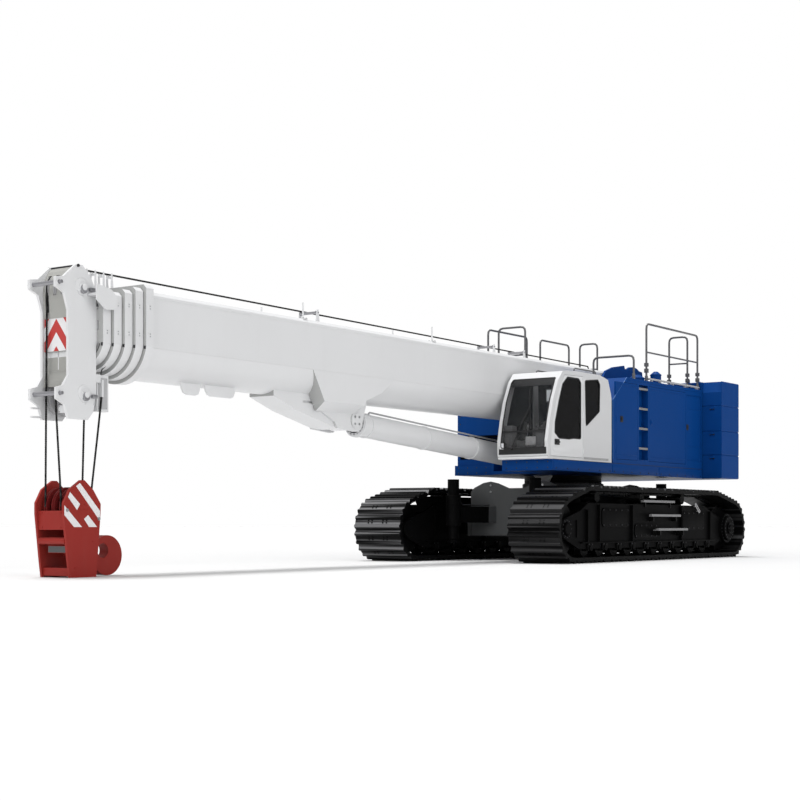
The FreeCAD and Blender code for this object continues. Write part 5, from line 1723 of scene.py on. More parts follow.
@dataclass(frozen=True)
class DeckSizes:
    """Where the boom foot's pin, the side plates and the decks' covers are."""

    pin_x: float = -1.9
    pin_z: float = 3.35
    pin_face: float = 0.565
    plate_face: float = 0.52
    side: float = 1.58
    cover_low: float = 1.635
    cover_high: float = 1.775


class UpperFrame(Assembly):
    """The turntable, its pins and the decks beside it."""

    body = "upper"
    size = DeckSizes()
    dressing = {"turntable_frame": TURNTABLE_BLUE, "boom_foot_pin": STEEL, "lift_foot_pin": STEEL, "deck_left": BLUE,
                "deck_right": BLUE, "counterweight_carrier": BLUE}

    def pin_keepers(self) -> None:
        """Keeper plates and bolts at both ends of the boom foot pin."""
        s = self.size
        shape = Shape("pin_keepers")
        rows = []
        for side in (1, -1):
            face = side * s.pin_face
            shape.turned((s.pin_x, face, s.pin_z), outward(side),
                         [(0.0, 0.15), (0.012, 0.15), (0.018, 0.144), (0.018, 0.0)], 28)
            rows += circle((s.pin_x, face + side * 0.018, s.pin_z), Axis.Y, 0.10, 6, side)
        self.place(shape, CARBODY_GREY)
        self.bolts("keeper_bolts", rows, 0.014, "carbody_grey")

    def deck_edges(self) -> None:
        """Cover strips, seams and bolts on the decks' faces."""
        s = self.size
        low, high = s.cover_low, s.cover_high
        shape = Shape("deck_covers")
        rows = []
        for x0, x1, sign in ((-3.02, -1.0, 1), (-0.96, 0.99, 1), (1.01, 3.2, 1), (-3.02, -0.8, -1), (-0.76, 1.41, -1)):
            y = sign * s.side
            deep = sorted((y, y + sign * 0.006))
            shape.plate([(x0, low), (x1, low), (x1, high), (x0, high)], Axis.Y, *deep, 0.002)
            rows += [((x, y + sign * 0.006, 1.65), outward(sign)) for x in spaced(x0 + 0.08, x1 - 0.08, 6)]
        for x, y0, y1 in ((3.24, 0.60, 1.55), (1.45, -1.55, -0.60)):
            shape.plate([(y0, low), (y1, low), (y1, high), (y0, high)], Axis.X, x, x + 0.006, 0.002)
            rows += [((x + 0.006, y, z), AHEAD) for y in spaced(y0 + 0.06, y1 - 0.06, 5) for z in (1.655, 1.755)]
        self.place(shape, BLUE)
        seam = Shape("deck_seams")
        for x0, x1, y in ((-3.03, 3.23, s.side), (-3.03, 1.44, -s.side)):
            seam.block((x0, y - 0.003, 1.796), (x1, y + 0.003, 1.804), 0.001)
        self.place(seam, RUBBER)
        self.bolts("deck_bolts", rows, 0.009, "panel_blue", finish=DARK_STEEL)

    def plate_ribs(self) -> None:
        """Stiffening ribs on the two side plates, and hoses to the winches."""
        shape = Shape("side_plate_ribs")
        for side in (1, -1):
            face = side * self.size.plate_face
            deep = sorted((face, face - side * 0.03))
            shape.plate([(-2.5, 2.40), (-2.46, 2.36), (-1.98, 3.52), (-2.02, 3.56)], Axis.Y, *deep, 0.002)
            shape.plate([(0.62, 2.16), (0.66, 2.20), (-0.60, 2.86), (-0.64, 2.82)], Axis.Y, *deep, 0.002)
            shape.plate([(-2.84, 1.98), (1.60, 1.98), (1.60, 2.01), (-2.84, 2.01)], Axis.Y, *deep, 0.002)
        self.place(shape, BLUE)
        for n, y in enumerate((-0.12, 0.0, 0.12)):
            self.tube(f"centre_hose_{n + 1}", [(0.35, y, 1.675), (0.35, y, 1.82), (-0.40, y * 2.0, 1.86),
                                               (-0.84, y * 2.4, 1.80)],
                      0.018, HOSE, bend=0.12)

    def build(self) -> None:
        """Builds the upper frame's pieces."""
        self.pin_keepers()
        self.deck_edges()
        self.plate_ribs()


@dataclass
class CabSizes:
    """The cab's planes and window outlines, x and z."""

    low: float = 0.570
    high: float = 1.580
    wall: float = 0.045
    middle: float = 1.075
    floor: float = 1.845
    screen: tuple[Pair, ...] = ((3.405, 2.0), (3.402, 2.12), (3.33, 2.47), (3.22, 2.82), (3.05, 3.16), (2.985, 3.225))
    door_window: tuple[Pair, ...] = ((2.21, 2.19), (2.48, 2.19), (2.64, 2.17), (3.0, 2.17), (3.16, 2.26), (3.15, 2.44),
                                     (3.01, 2.83), (2.88, 3.12), (2.70, 3.255), (2.29, 3.255), (2.21, 3.19))
    rear_window: tuple[Pair, ...] = ((1.5, 2.72), (2.02, 2.42), (2.05, 3.24), (1.56, 3.29), (1.48, 3.21))


class Cab(Assembly):
    """The driver's cab: glass, seals, wiper, lamps, seat and controls."""

    body = "upper"
    dressing = {"cab_shell": CAB_WHITE, "cab_glass": GLASS, "cab_door_glass": GLASS}

    def __init__(self, frame: dict, forms: Forms) -> None:
        """Takes the standard sizes."""
        super().__init__(frame, forms)
        self.size = CabSizes()

    def seals(self) -> None:
        """Rubber beads round every window and in the door gap."""
        s = self.size
        for name, outline, y, body in (("door_window_seal", s.door_window, s.high - 0.004, "cab_door"),
                                       ("rear_window_seal", s.rear_window, s.high - 0.004, "upper"),
                                       ("right_window_seal", s.rear_window, s.low + 0.009, "upper"),
                                       ("right_front_seal", s.door_window, s.low + 0.009, "upper")):
            self.tube(name, [(x, y, z) for x, z in outline], 0.011, RUBBER, bend=0.04, closed=True, body=body)
        left, right = s.high - 0.07, s.low + 0.075
        loop = [(x, left, z) for x, z in s.screen] + [(x, right, z) for x, z in reversed(s.screen)]
        self.tube("windscreen_seal", loop, 0.012, RUBBER, bend=0.03, closed=True)
        gap = [(2.127, 1.847), (3.303, 1.847), (3.313, 2.12), (3.235, 2.451), (3.128, 2.791), (2.963, 3.122),
               (2.812, 3.293), (2.127, 3.313)]
        self.tube("door_gap_seal", [(x, s.high - 0.022, z) for x, z in gap], 0.0028, RUBBER, bend=0.01, closed=True)

    def screen_parts(self) -> None:
        """The bar across the windscreen, its lower panel, the sill and the wiper."""
        s = self.size
        shape = Shape("windscreen_frame")
        shape.block((3.325, 0.655, 2.275), (3.372, 1.50, 2.30), 0.004)
        shape.block((3.355, 0.60, 1.885), (3.409, 1.55, 2.006), 0.006)
        shape.plate([(3.045, 3.09), (3.06, 3.10), (2.985, 3.24), (2.94, 3.24)], Axis.Y, 0.66, 1.49, 0.004)
        self.place(shape, PLASTIC)
        lip = Shape("cab_lip")
        lip.block((3.30, 0.585, 1.805), (3.406, 1.575, 1.842), 0.006)
        self.place(lip, WHITE)
        wiper = Shape("wiper")
        arm = [(3.405, 0.86, 2.00), (3.345, 1.02, 2.42), (3.262, 1.16, 2.74)]
        for a, b in zip(arm, arm[1:]):
            wiper.rod(a, b, 0.008, 8)
        blade = [(3.372, 1.22, 2.36), (3.255, 1.14, 2.74), (3.14, 1.07, 3.03)]
        for a, b in zip(blade, blade[1:]):
            wiper.rod(a, b, 0.007, 6)
        wiper.turned((3.40, 0.86, 1.985), (0.6, 0.0, 0.5), [(0.0, 0.028), (0.03, 0.028), (0.036, 0.02),
                                                            (0.036, 0.0)], 14)
        self.place(wiper, PLASTIC)

    def outside(self) -> None:
        """Handle, grab strip, roof rails and lamps."""
        s = self.size
        handle = Shape("door_handle")
        handle.block((3.005, s.high, 2.05), (3.165, s.high + 0.012, 2.15), 0.006)
        handle.block((3.02, s.high + 0.012, 2.085), (3.13, s.high + 0.034, 2.112), 0.008)
        self.place(handle, PLASTIC, "cab_door")
        strip = Shape("grab_strip")
        strip.block((1.16, s.high, 1.834), (2.10, s.high + 0.012, 1.872), 0.005)
        self.place(strip, PALE_GREY)
        self.bolts("cab_side_bolts", grid([(x, s.high + 0.012, 1.853) for x in spaced(1.22, 2.04, 4)],
                                          ACROSS), 0.009, "rail_grey")
        for side, y in (("left", 1.46), ("right", 0.69)):
            self.tube(f"roof_rail_{side}", [(1.42, y, 3.385), (1.42, y, 3.455), (2.24, y, 3.455), (2.24, y, 3.385)],
                      0.013, RAIL_GREY, bend=0.04)
        trim = Shape("roof_hatch_frame")
        for y in (0.685, 1.415):
            trim.block((1.44, y, 3.383), (2.46, y + 0.05, 3.395), 0.004)
        trim.block((1.44, 0.735, 3.383), (1.49, 1.415, 3.395), 0.004)
        self.place(trim, WHITE)
        self.lamp("cab_lamp_left", (3.408, 0.655, 2.035))

    def lamp(self, name: str, place: Point) -> None:
        """A small square work lamp with its own lens.

        Args:
            name: The lamp's name.
            place: The middle of its front.
        """
        x, y, z = place
        case = Shape(name)
        case.block((x - 0.075, y - 0.055, z - 0.065), (x, y + 0.055, z + 0.065), 0.012)
        self.place(case, PLASTIC)
        lens = Shape(name + "_lens")
        lens.block((x - 0.004, y - 0.044, z - 0.052), (x + 0.004, y + 0.044, z + 0.052), 0.006)
        self.place(lens, LAMP)

    def door(self) -> None:
        """The door's hinges, its lower pressing and its inner lining."""
        s = self.size
        self.paint("cab_door", WHITE)
        shape = Shape("door_hinges")
        for z in (1.98, 2.62, 3.22):
            shape.rod((2.133, 1.584, z - 0.05), (2.133, 1.584, z + 0.05), 0.013, 12, 0.002)
            shape.block((2.10, 1.580, z - 0.035), (2.133, 1.586, z + 0.035), 0.002)
        self.place(shape, WHITE)
        panel = Shape("door_pressing")
        outline = [(2.24, 1.93), (3.18, 1.93), (3.22, 1.98), (3.22, 2.0), (2.24, 2.0)]
        panel.plate(outline, Axis.Y, s.high, s.high + 0.004, 0.0015)
        self.place(panel, WHITE, "cab_door")
        lining = Shape("door_lining")
        lining.plate([(2.18, 1.90), (3.25, 1.90), (3.27, 2.12), (2.18, 2.12)], Axis.Y, s.high - s.wall - 0.008,
                     s.high - s.wall, 0.003)
        self.place(lining, PLASTIC, "cab_door")

    def cushion(self, name: str, low: Point, high: Point, crown: float, lean: float, seams: Sequence[float]) -> None:
        """A padded part of the seat, crowned, pulled in at its corners, with sewn channels.

        Args:
            name: The piece's name.
            low: Its box's lowest corner, before it leans.
            high: Its box's highest corner.
            crown: How far its middle swells.
            lean: Its turn about Y at its lower edge, in degrees.
            seams: Where channels run across it, as shares of its length.
        """
        size = Vector(high) - Vector(low)
        middle = (Vector(high) + Vector(low)) / 2
        part = bmesh.new()
        bmesh.ops.create_cube(part, size=1.0)
        bmesh.ops.subdivide_edges(part, edges=part.edges, cuts=11, use_grid_fill=True)
        flat = min(range(3), key=lambda i: size[i])
        run = 0 if flat == 2 else 2
        for vert in part.verts:
            p = vert.co.copy()
            across, along = p[1] * 2.0, p[run] * 2.0
            swell = (1.0 - across ** 4) * (1.0 - along ** 4)
            pinch = 1.0 - 0.10 * (abs(across) ** 3) * (abs(along) ** 3)
            sign = math.copysign(1.0, p[flat]) if abs(p[flat]) > 0.45 else p[flat] * 2.0
            dent = sum(math.exp(-((p[run] + 0.5 - s) / 0.018) ** 2) for s in seams)
            edge = math.exp(-((abs(p[1]) - 0.33) / 0.02) ** 2)
            vert.co[1] = p[1] * size[1] * pinch
            vert.co[run] = p[run] * size[run] * pinch
            vert.co[flat] = p[flat] * size[flat] * 0.86 + sign * (crown * swell - 0.012 * dent - 0.006 * edge * swell)
        hinge = Vector((low[0], middle.y, low[2]))
        turn = Matrix.Translation(hinge) @ Matrix.Rotation(math.radians(lean), 4,
                                                           "Y") @ Matrix.Translation(middle - hinge)
        bmesh.ops.transform(part, matrix=turn, verts=part.verts)
        bmesh.ops.recalc_face_normals(part, faces=part.faces)
        mesh = bpy.data.meshes.new(name)
        part.to_mesh(mesh)
        part.free()
        mesh.materials.append(CLOTH.material())
        mesh.shade_smooth()
        made = bpy.data.objects.new(name, mesh)
        bpy.context.scene.collection.objects.link(made)
        finer = made.modifiers.new("finer", "SUBSURF")
        finer.levels = finer.render_levels = 1
        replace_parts(made, "cab_seat")
        self.fit(made, "seat_fabric")

    def seat(self) -> None:
        """The driver's seat: two cushions and a headrest on a sprung base, with consoles."""
        m = self.size.middle
        self.cushion("seat_cushion", (1.76, m - 0.25, 2.19), (2.27, m + 0.25, 2.31), 0.022, 0.0, (0.33, 0.66))
        self.cushion("seat_back", (1.75, m - 0.235, 2.33), (1.86, m + 0.235, 2.86), 0.020, -7.0, (0.3, 0.6))
        self.cushion("seat_headrest", (1.70, m - 0.14, 2.875), (1.79, m + 0.14, 3.02), 0.012, -7.0, ())
        base = Shape("seat_base")
        base.block((1.74, m - 0.20, 1.846), (2.14, m + 0.20, 1.87), 0.006)
        for i in range(6):
            r = 0.17 if i % 2 else 0.15
            base.block((1.94 - r, m - r * 0.9, 1.87 + i * 0.045), (1.94 + r, m + r * 0.9, 1.915 + i * 0.045), 0.016)
        base.block((1.76, m - 0.22, 2.14), (2.22, m + 0.22, 2.20), 0.012)
        for side in (1, -1):
            base.block((1.81, m + side * 0.26, 2.20), (2.40, m + side * 0.38, 2.40), 0.02)
            base.block((1.84, m + side * 0.27, 2.425), (2.18, m + side * 0.36, 2.465), 0.018)
            base.rod((2.32, m + side * 0.32, 2.40), (2.33, m + side * 0.32, 2.455), 0.022, 14, 0.004)
        made = base.done(TRIM)
        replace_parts(made, "cab_seat")
        self.fit(made, "chassis_black")

    def controls(self) -> None:
        """The dash, the display on its post, levers, pedals and the sun blind."""
        dash = Shape("cab_dash")
        dash.block((3.12, 0.63, 1.85), (3.30, 0.80, 2.40), 0.02).block((3.18, 1.28, 1.85), (3.30, 1.46, 2.30), 0.02)
        dash.rod((3.12, 1.42, 2.25), (3.02, 1.42, 2.80), 0.014, 10)
        dash.block((2.985, 1.335, 2.80), (3.03, 1.50, 3.03), 0.010)
        dash.block((2.80, 0.66, 3.20), (2.86, 1.48, 3.28), 0.012)
        dash.rod((3.16, 1.02, 1.86), (3.05, 1.02, 2.22), 0.020, 12)
        for y in (0.92, 1.12):
            dash.rod((3.04, y, 1.92), (2.94, y, 2.38), 0.010, 10)
            dash.turned((2.94, y, 2.38), (-0.2, 0.0, 1.0), [(-0.02, 0.012), (0.0, 0.022), (0.04, 0.022),
                                                            (0.06, 0.0)], 12)
            dash.block((3.05, y - 0.05, 1.87), (3.14, y + 0.05, 1.90), 0.006)
        self.place(dash, TRIM)
        glow = Shape("cab_display")
        glow.block((3.029, 1.350, 2.82), (3.034, 1.486, 3.01), 0.002)
        self.place(glow, SCREEN)
        label = Shape("blank_card")
        label.block((3.24, 1.05, 2.05), (3.25, 1.25, 2.20), 0.002)
        self.place(label, PALE_PLASTIC, slot="step_light")

    def build(self) -> None:
        """Builds the cab's pieces."""
        self.seals()
        self.screen_parts()
        self.outside()
        self.door()
        self.seat()
        self.controls()


@dataclass(frozen=True)
class EngineHouseSizes:
    """The left house's outer face, its roof, its ladder and its doors' hinges."""

    side: float = 1.58
    fixed_side: float = 1.568
    roof: float = 3.43
    ladder: Pair = (-0.505, -0.125)
    rungs: tuple[float, ...] = (2.10, 2.48, 2.86, 3.24)
    hinge_xs: Pair = (0.837, -2.227)
    hinge_zs: tuple[float, ...] = (2.05, 2.62, 3.18)
    hinge_y: float = 1.5795


class LeftHouse(Assembly):
    """The engine house: doors, latches, ladder treads, panels and roof parts."""

    body = "upper"
    dressing = {"house_left": BLUE, "engine": BLACK, "roof_fittings": BLUE, "house_door_front": BLUE,
                "house_door_rear": BLUE}
    # Each panel: body, x low, x high, the latch's x and its finish
    panels = (("house_door_front", -0.054, 0.834, 0.61, PLASTIC), ("house_door_rear", -2.224, -0.566, -0.66, BLUE),
              ("upper", -2.972, -2.30, -2.335, PLASTIC))
    size = EngineHouseSizes()

    def doors(self) -> None:
        """The panels' latches, pull rims and hinges."""
        for n, (body, x0, x1, latch, finish) in enumerate(self.panels):
            edge = Shape(f"house_panel_edge_{n + 1}")
            face = self.size.side if body != "upper" else self.size.fixed_side
            for z in (1.965, 3.27):
                edge.block((x0 + 0.03, face, z), (x1 - 0.03, face + 0.0035, z + 0.012), 0.0015)
            self.place(edge, BLUE, body)
            lock = Shape(f"house_latch_{n + 1}")
            lock.block((latch - 0.055, face, 2.575), (latch + 0.055, face + 0.006, 2.69), 0.005)
            lock.block((latch - 0.035, face + 0.006, 2.60), (latch + 0.035, face + 0.018, 2.665), 0.006)
            self.place(lock, finish, body)
        hinges = Shape("house_hinges")
        y = self.size.hinge_y
        for x in self.size.hinge_xs:
            for z in self.size.hinge_zs:
                hinges.rod((x, y, z - 0.06), (x, y, z + 0.06), 0.007, 10, 0.002)
        for z in (2.256, 3.006):
            hinges.block((-2.965, 1.567, z - 0.004), (-2.285, 1.5715, z + 0.004), 0.0015)
        self.place(hinges, BLUE)

    def ladder(self) -> None:
        """Pale anti-slip treads on the recessed rungs."""
        x0, x1 = self.size.ladder
        treads = Shape("ladder_treads")
        for z in self.size.rungs:
            treads.block((x0, 1.537, z - 0.003), (x1, 1.579, z + 0.036), 0.003)
        self.place(treads, STEP_GREY)
        for row, z in enumerate(self.size.rungs):
            self.bars(f"ladder_studs_{row + 1}", 16, (x0 + 0.015, 1.556, z + 0.038), (0.0235, 0.0, 0.0),
                      (0.012, 0.034, 0.004), STEP_GREY)

    def side_panels(self) -> None:
        """The front post's seam, the roof edge's silvery folded rail, a light blue bead as painted highlight on the
        front chamfer's edge, and the bolts.
        """
        shape = Shape("house_left_panels")
        shape.block((-3.02, 1.5795, 3.380), (0.38, 1.5865, 3.398), 0.003)
        self.place(shape, BLUE)
        rail = Shape("folded_rail")
        for y, z in ((1.545, 3.478), (1.470, 3.500)):
            rail.rod((-2.96, y, z), (-0.66, y, z), 0.017, 10, 0.003)
        for x in spaced(-2.90, -0.72, 13):
            rail.block((x - 0.010, 1.470, 3.470), (x + 0.010, 1.545, 3.490), 0.003)
        for x in (-2.86, -2.30, -1.72, -1.14, -0.76):
            rail.block((x - 0.035, 1.455, 3.430), (x + 0.035, 1.550, 3.447), 0.003)
            rail.block((x - 0.022, 1.515, 3.440), (x + 0.022, 1.556, 3.500), 0.004)
        self.place(rail, PALE_GREY)
        # Painted highlight: a light blue bead along the front chamfer's edge.
        edge = [(0.955, 1.576, 1.88), (0.962, 1.576, 2.972), (0.386, 1.576, 3.432)]
        self.tube("house_edge_trim", edge, 0.006, EDGE_HIGHLIGHT_BLUE, bend=0.01, sides=6)
        rows = [((x, y, self.size.roof), UP) for x in spaced(-2.9, 0.3, 17) for y in (1.40, 0.62)]
        rows += [((0.96, y, z), AHEAD) for y in (0.64, 1.51) for z in spaced(1.9, 2.9, 5)]
        self.bolts("house_left_bolts", rows, 0.010, "panel_blue", finish=DARK_STEEL)

    def roof(self) -> None:
        """Tread strips, the posts' bands and the vents' slats."""
        self.bars("roof_tread_left", 60, (-2.95, 1.32, 3.433), (0.050, 0.0, 0.0), (0.018, 0.18, 0.006), BLUE)
        shape = Shape("roof_details_left")
        for x, y, r, heights in ((-0.9, 1.15, 0.150, (0.03, 0.085)), (-2.28, 0.90, 0.110, (0.02, 0.15, 0.275))):
            for z in heights:
                shape.turned((x, y, self.size.roof + z), UP,
                             [(0.0, r), (0.0, r + 0.007), (0.022, r + 0.007), (0.022, r)], 32)
        self.place(shape, BLUE)
        for n, x in enumerate((-1.90, -0.44)):
            self.bars(f"vent_slats_{n + 1}", 11, (x + 0.03, 1.08, 3.470), (0.030, 0.0, 0.0), (0.022, 0.56, 0.004),
                      BLUE, tilt=(0.0, math.radians(28), 0.0))

    def build(self) -> None:
        """Builds the left house's pieces."""
        self.doors()
        self.ladder()
        self.side_panels()
        self.roof()


@dataclass(frozen=True)
class TankHouseSizes:
    """The right house's outer face, its panels' edges and its roof."""

    side: float = 1.58
    panel_low: float = 1.86
    panel_high: float = 3.30
    roof: float = 3.43


class RightHouse(Assembly):
    """The tank and cooler house."""

    body = "upper"
    size = TankHouseSizes()
    dressing = {"house_right": BLUE}

    def grille(self) -> None:
        """The cooler's slats in the front recess."""
        self.bars("cooler_slats", 14, (1.335, -1.075, 1.945), (0.0, 0.0, 0.031), (0.006, 0.88, 0.022), BLACK,
                  tilt=(0.0, math.radians(35), 0.0))

    def panels(self) -> None:
        """Panel edges, handles, filler caps and bolts."""
        face, low, high = -self.size.side, self.size.panel_low, self.size.panel_high
        shape = Shape("house_right_panels")
        for x0, x1 in ((-2.96, -1.25), (-1.18, 0.05), (0.12, 1.28)):
            for z in (low, high):
                shape.block((x0, face - 0.005, z), (x1, face, z + 0.015), 0.002)
            for x in (x0, x1 - 0.015):
                shape.block((x, face - 0.005, low), (x + 0.015, face, high + 0.015), 0.002)
        shape.block((-3.02, face - 0.008, 3.375), (0.77, face, 3.40), 0.004)
        for x, r in ((0.1, 0.09), (-0.5, 0.06)):
            shape.turned((x, -1.2, self.size.roof), UP, [(0.0, r), (0.03, r), (0.04, r - 0.01), (0.04, 0.0)], 24)
        self.place(shape, BLUE)
        locks = Shape("house_right_latches")
        for x in (-1.33, -0.05, 1.18):
            locks.block((x - 0.05, face - 0.012, 2.56), (x + 0.05, face, 2.68), 0.008)
        self.place(locks, PLASTIC)
        rows = [((x, y, 3.43), UP) for x in spaced(-2.9, 0.68, 19) for y in (-1.45, -0.66)]
        rows += [((1.35, y, z), AHEAD) for y in (-1.52, -0.62) for z in spaced(2.46, 2.9, 4)]
        self.bolts("house_right_bolts", rows, 0.010, "panel_blue", finish=DARK_STEEL)
        self.bars("roof_tread_right", 66, (-2.95, -1.32, 3.433), (0.050, 0.0, 0.0), (0.018, 0.18, 0.006), BLUE)

    def build(self) -> None:
        """Builds the right house's pieces."""
        self.grille()
        self.panels()


@dataclass(frozen=True)
class BallastSizes:
    """Where the slabs' pins, blocks and lamps are."""

    rear: float = -3.955
    pin_x: float = -3.042
    block_y: float = 1.80
    lug_y: float = 1.2
    lamp_y: float = 1.35
    slab_tops: tuple[float, ...] = (2.09, 2.58, 3.10)


class Ballast(Assembly):
    """The counterweight: lug pins, locating blocks and lamps."""

    body = "upper"
    dressing = {f"counterweight_slab_{i}": BLUE for i in (1, 2, 3, 4)}
    size = BallastSizes()

    def build(self) -> None:
        """Builds the counterweight's pieces."""
        s = self.size
        pins = Shape("slab_pins")
        blocks = Shape("slab_blocks")
        lamps = Shape("rear_lamps")
        for side in (1, -1):
            for z in s.slab_tops:
                pins.rod((s.pin_x, side * 1.752, z - 0.068), (s.pin_x, side * 1.848, z - 0.068), 0.014, 10, 0.002)
                blocks.turned((s.rear, side * s.block_y, z - 0.25), (-1.0, 0.0, 0.0),
                              [(-0.01, 0.055), (-0.001, 0.05), (-0.001, 0.0)], 18)
            for x in (-3.20, -3.75):
                blocks.block((x - 0.05, side * s.lug_y - 0.02, 3.59), (x + 0.05, side * s.lug_y + 0.02, 3.68), 0.008)
            lamps.block((s.rear - 0.0015, side * s.lamp_y - 0.09, 1.72),
                        (s.rear + 0.02, side * s.lamp_y + 0.09, 1.80), 0.001)
        self.place(pins, DARK_STEEL)
        self.place(blocks, BLUE)
        self.place(lamps, RED_LENS)


@dataclass(frozen=True)
class RailSizes:
    """The roof under the rails, and where their feet stand."""

    roof: float = 3.43
    spots: tuple[Pair, ...] = ((-0.606, 1.5), (-2.99, 1.5), (-2.99, 1.277), (-2.99, 0.868), (-0.06, 1.5), (-0.06, 0.64),
                               (0.35, -1.5), (-1.181, -1.5), (-1.737, -1.5), (-2.99, -1.5), (0.35, -1.255),
                               (0.35, -0.649), (-2.99, -1.232), (-2.99, -0.81))


class Rails(Assembly):
    """The handrails, their feet and clamps."""

    body = "upper"
    dressing = {"handrails_left": RAIL_GREY, "handrails_right": RAIL_GREY}
    size = RailSizes()

    def build(self) -> None:
        """A flanged socket at each foot, and a hinge block on the taller posts of the left side."""
        s = self.size
        shape = Shape("rail_sockets")
        rows = []
        for x, y in s.spots:
            shape.turned((x, y, s.roof), UP,
                         [(0.0, 0.048), (0.010, 0.048), (0.012, 0.030), (0.11, 0.030), (0.115, 0.021)], 16)
            rows += circle((x, y, s.roof + 0.01), Axis.Z, 0.040, 4, 1.0, 0.785)
        for x, y in s.spots[:4]:
            for low, high in ((3.60, 3.68), (3.72, 3.79)):
                shape.block((x - 0.034, y - 0.034, low), (x + 0.034, y + 0.034, high), 0.006)
            shape.block((x - 0.050, y - 0.012, 3.62), (x + 0.050, y + 0.012, 3.66), 0.004)
        self.place(shape, RAIL_GREY)
        self.bolts("rail_bolts", rows, 0.006, "rail_grey")


@dataclass(frozen=True)
class WinchSizes:
    """Each winch's name, axle, drum radius and layers of rope, and how far out its gears are."""

    winches: tuple[tuple[str, float, float, float, int], ...] = (("main", -2.35, 2.23, 0.23, 2),
                                                                 ("aux", -1.42, 2.23, 0.20, 1))
    side: float = 0.42
    rope: float = 0.0122


class Winches(Assembly):
    """Both winches with rope on their drums."""

    body = "upper"
    dressing = {"winch_main": RED, "winch_aux": RED}
    size = WinchSizes()

    def build(self) -> None:
        """Winds the ropes and bolts the end gears."""
        s = self.size
        for name, x, z, radius, layers in s.winches:
            for layer in range(layers):
                made = self.forms.coils.grow(f"drum_rope_{name}_{layer + 1}", carrier([(0.0, 0.0, 0.0)]), DRUM_ROPE,
                                             Turns=30.0, Drum_Radius=radius + 0.012 + layer * 0.021, Width=0.76,
                                             Rope_Radius=s.rope, Centre=(x, -0.38, z))
                self.fit(made, "rope_steel")
            rows = [row for sign in (1.0, -1.0)
                    for row in circle((x, sign * s.side, z), Axis.Y, radius + 0.045, 20, sign)]
            self.bolts(f"winch_bolts_{name}", rows, 0.012, "hook_red")


# Boom, cylinder, head and hook


def rope_height(x: float) -> float:
    """The hoist rope's height over the boom at x."""
    lifted = 3.875 + (x + 1.29) * 0.00655
    return lifted if x < 12.698 else lifted - (x - 12.698) * 0.359


@dataclass
class BoomSizes:
    """The boom's sections: base first, tip last."""

    half: float = 0.480
    top: float = 3.710
    crease: float = 2.970
    bottom: float = 2.580
    step: float = 0.045
    collar_rise: float = 0.070
    collar_length: float = 0.137
    first_front: float = 12.110
    pitch: float = 0.147
    bodies: tuple[str, ...] = ("boom_base", "boom_section_2", "boom_section_3", "boom_section_4", "boom_section_5",
                               "boom_tip")


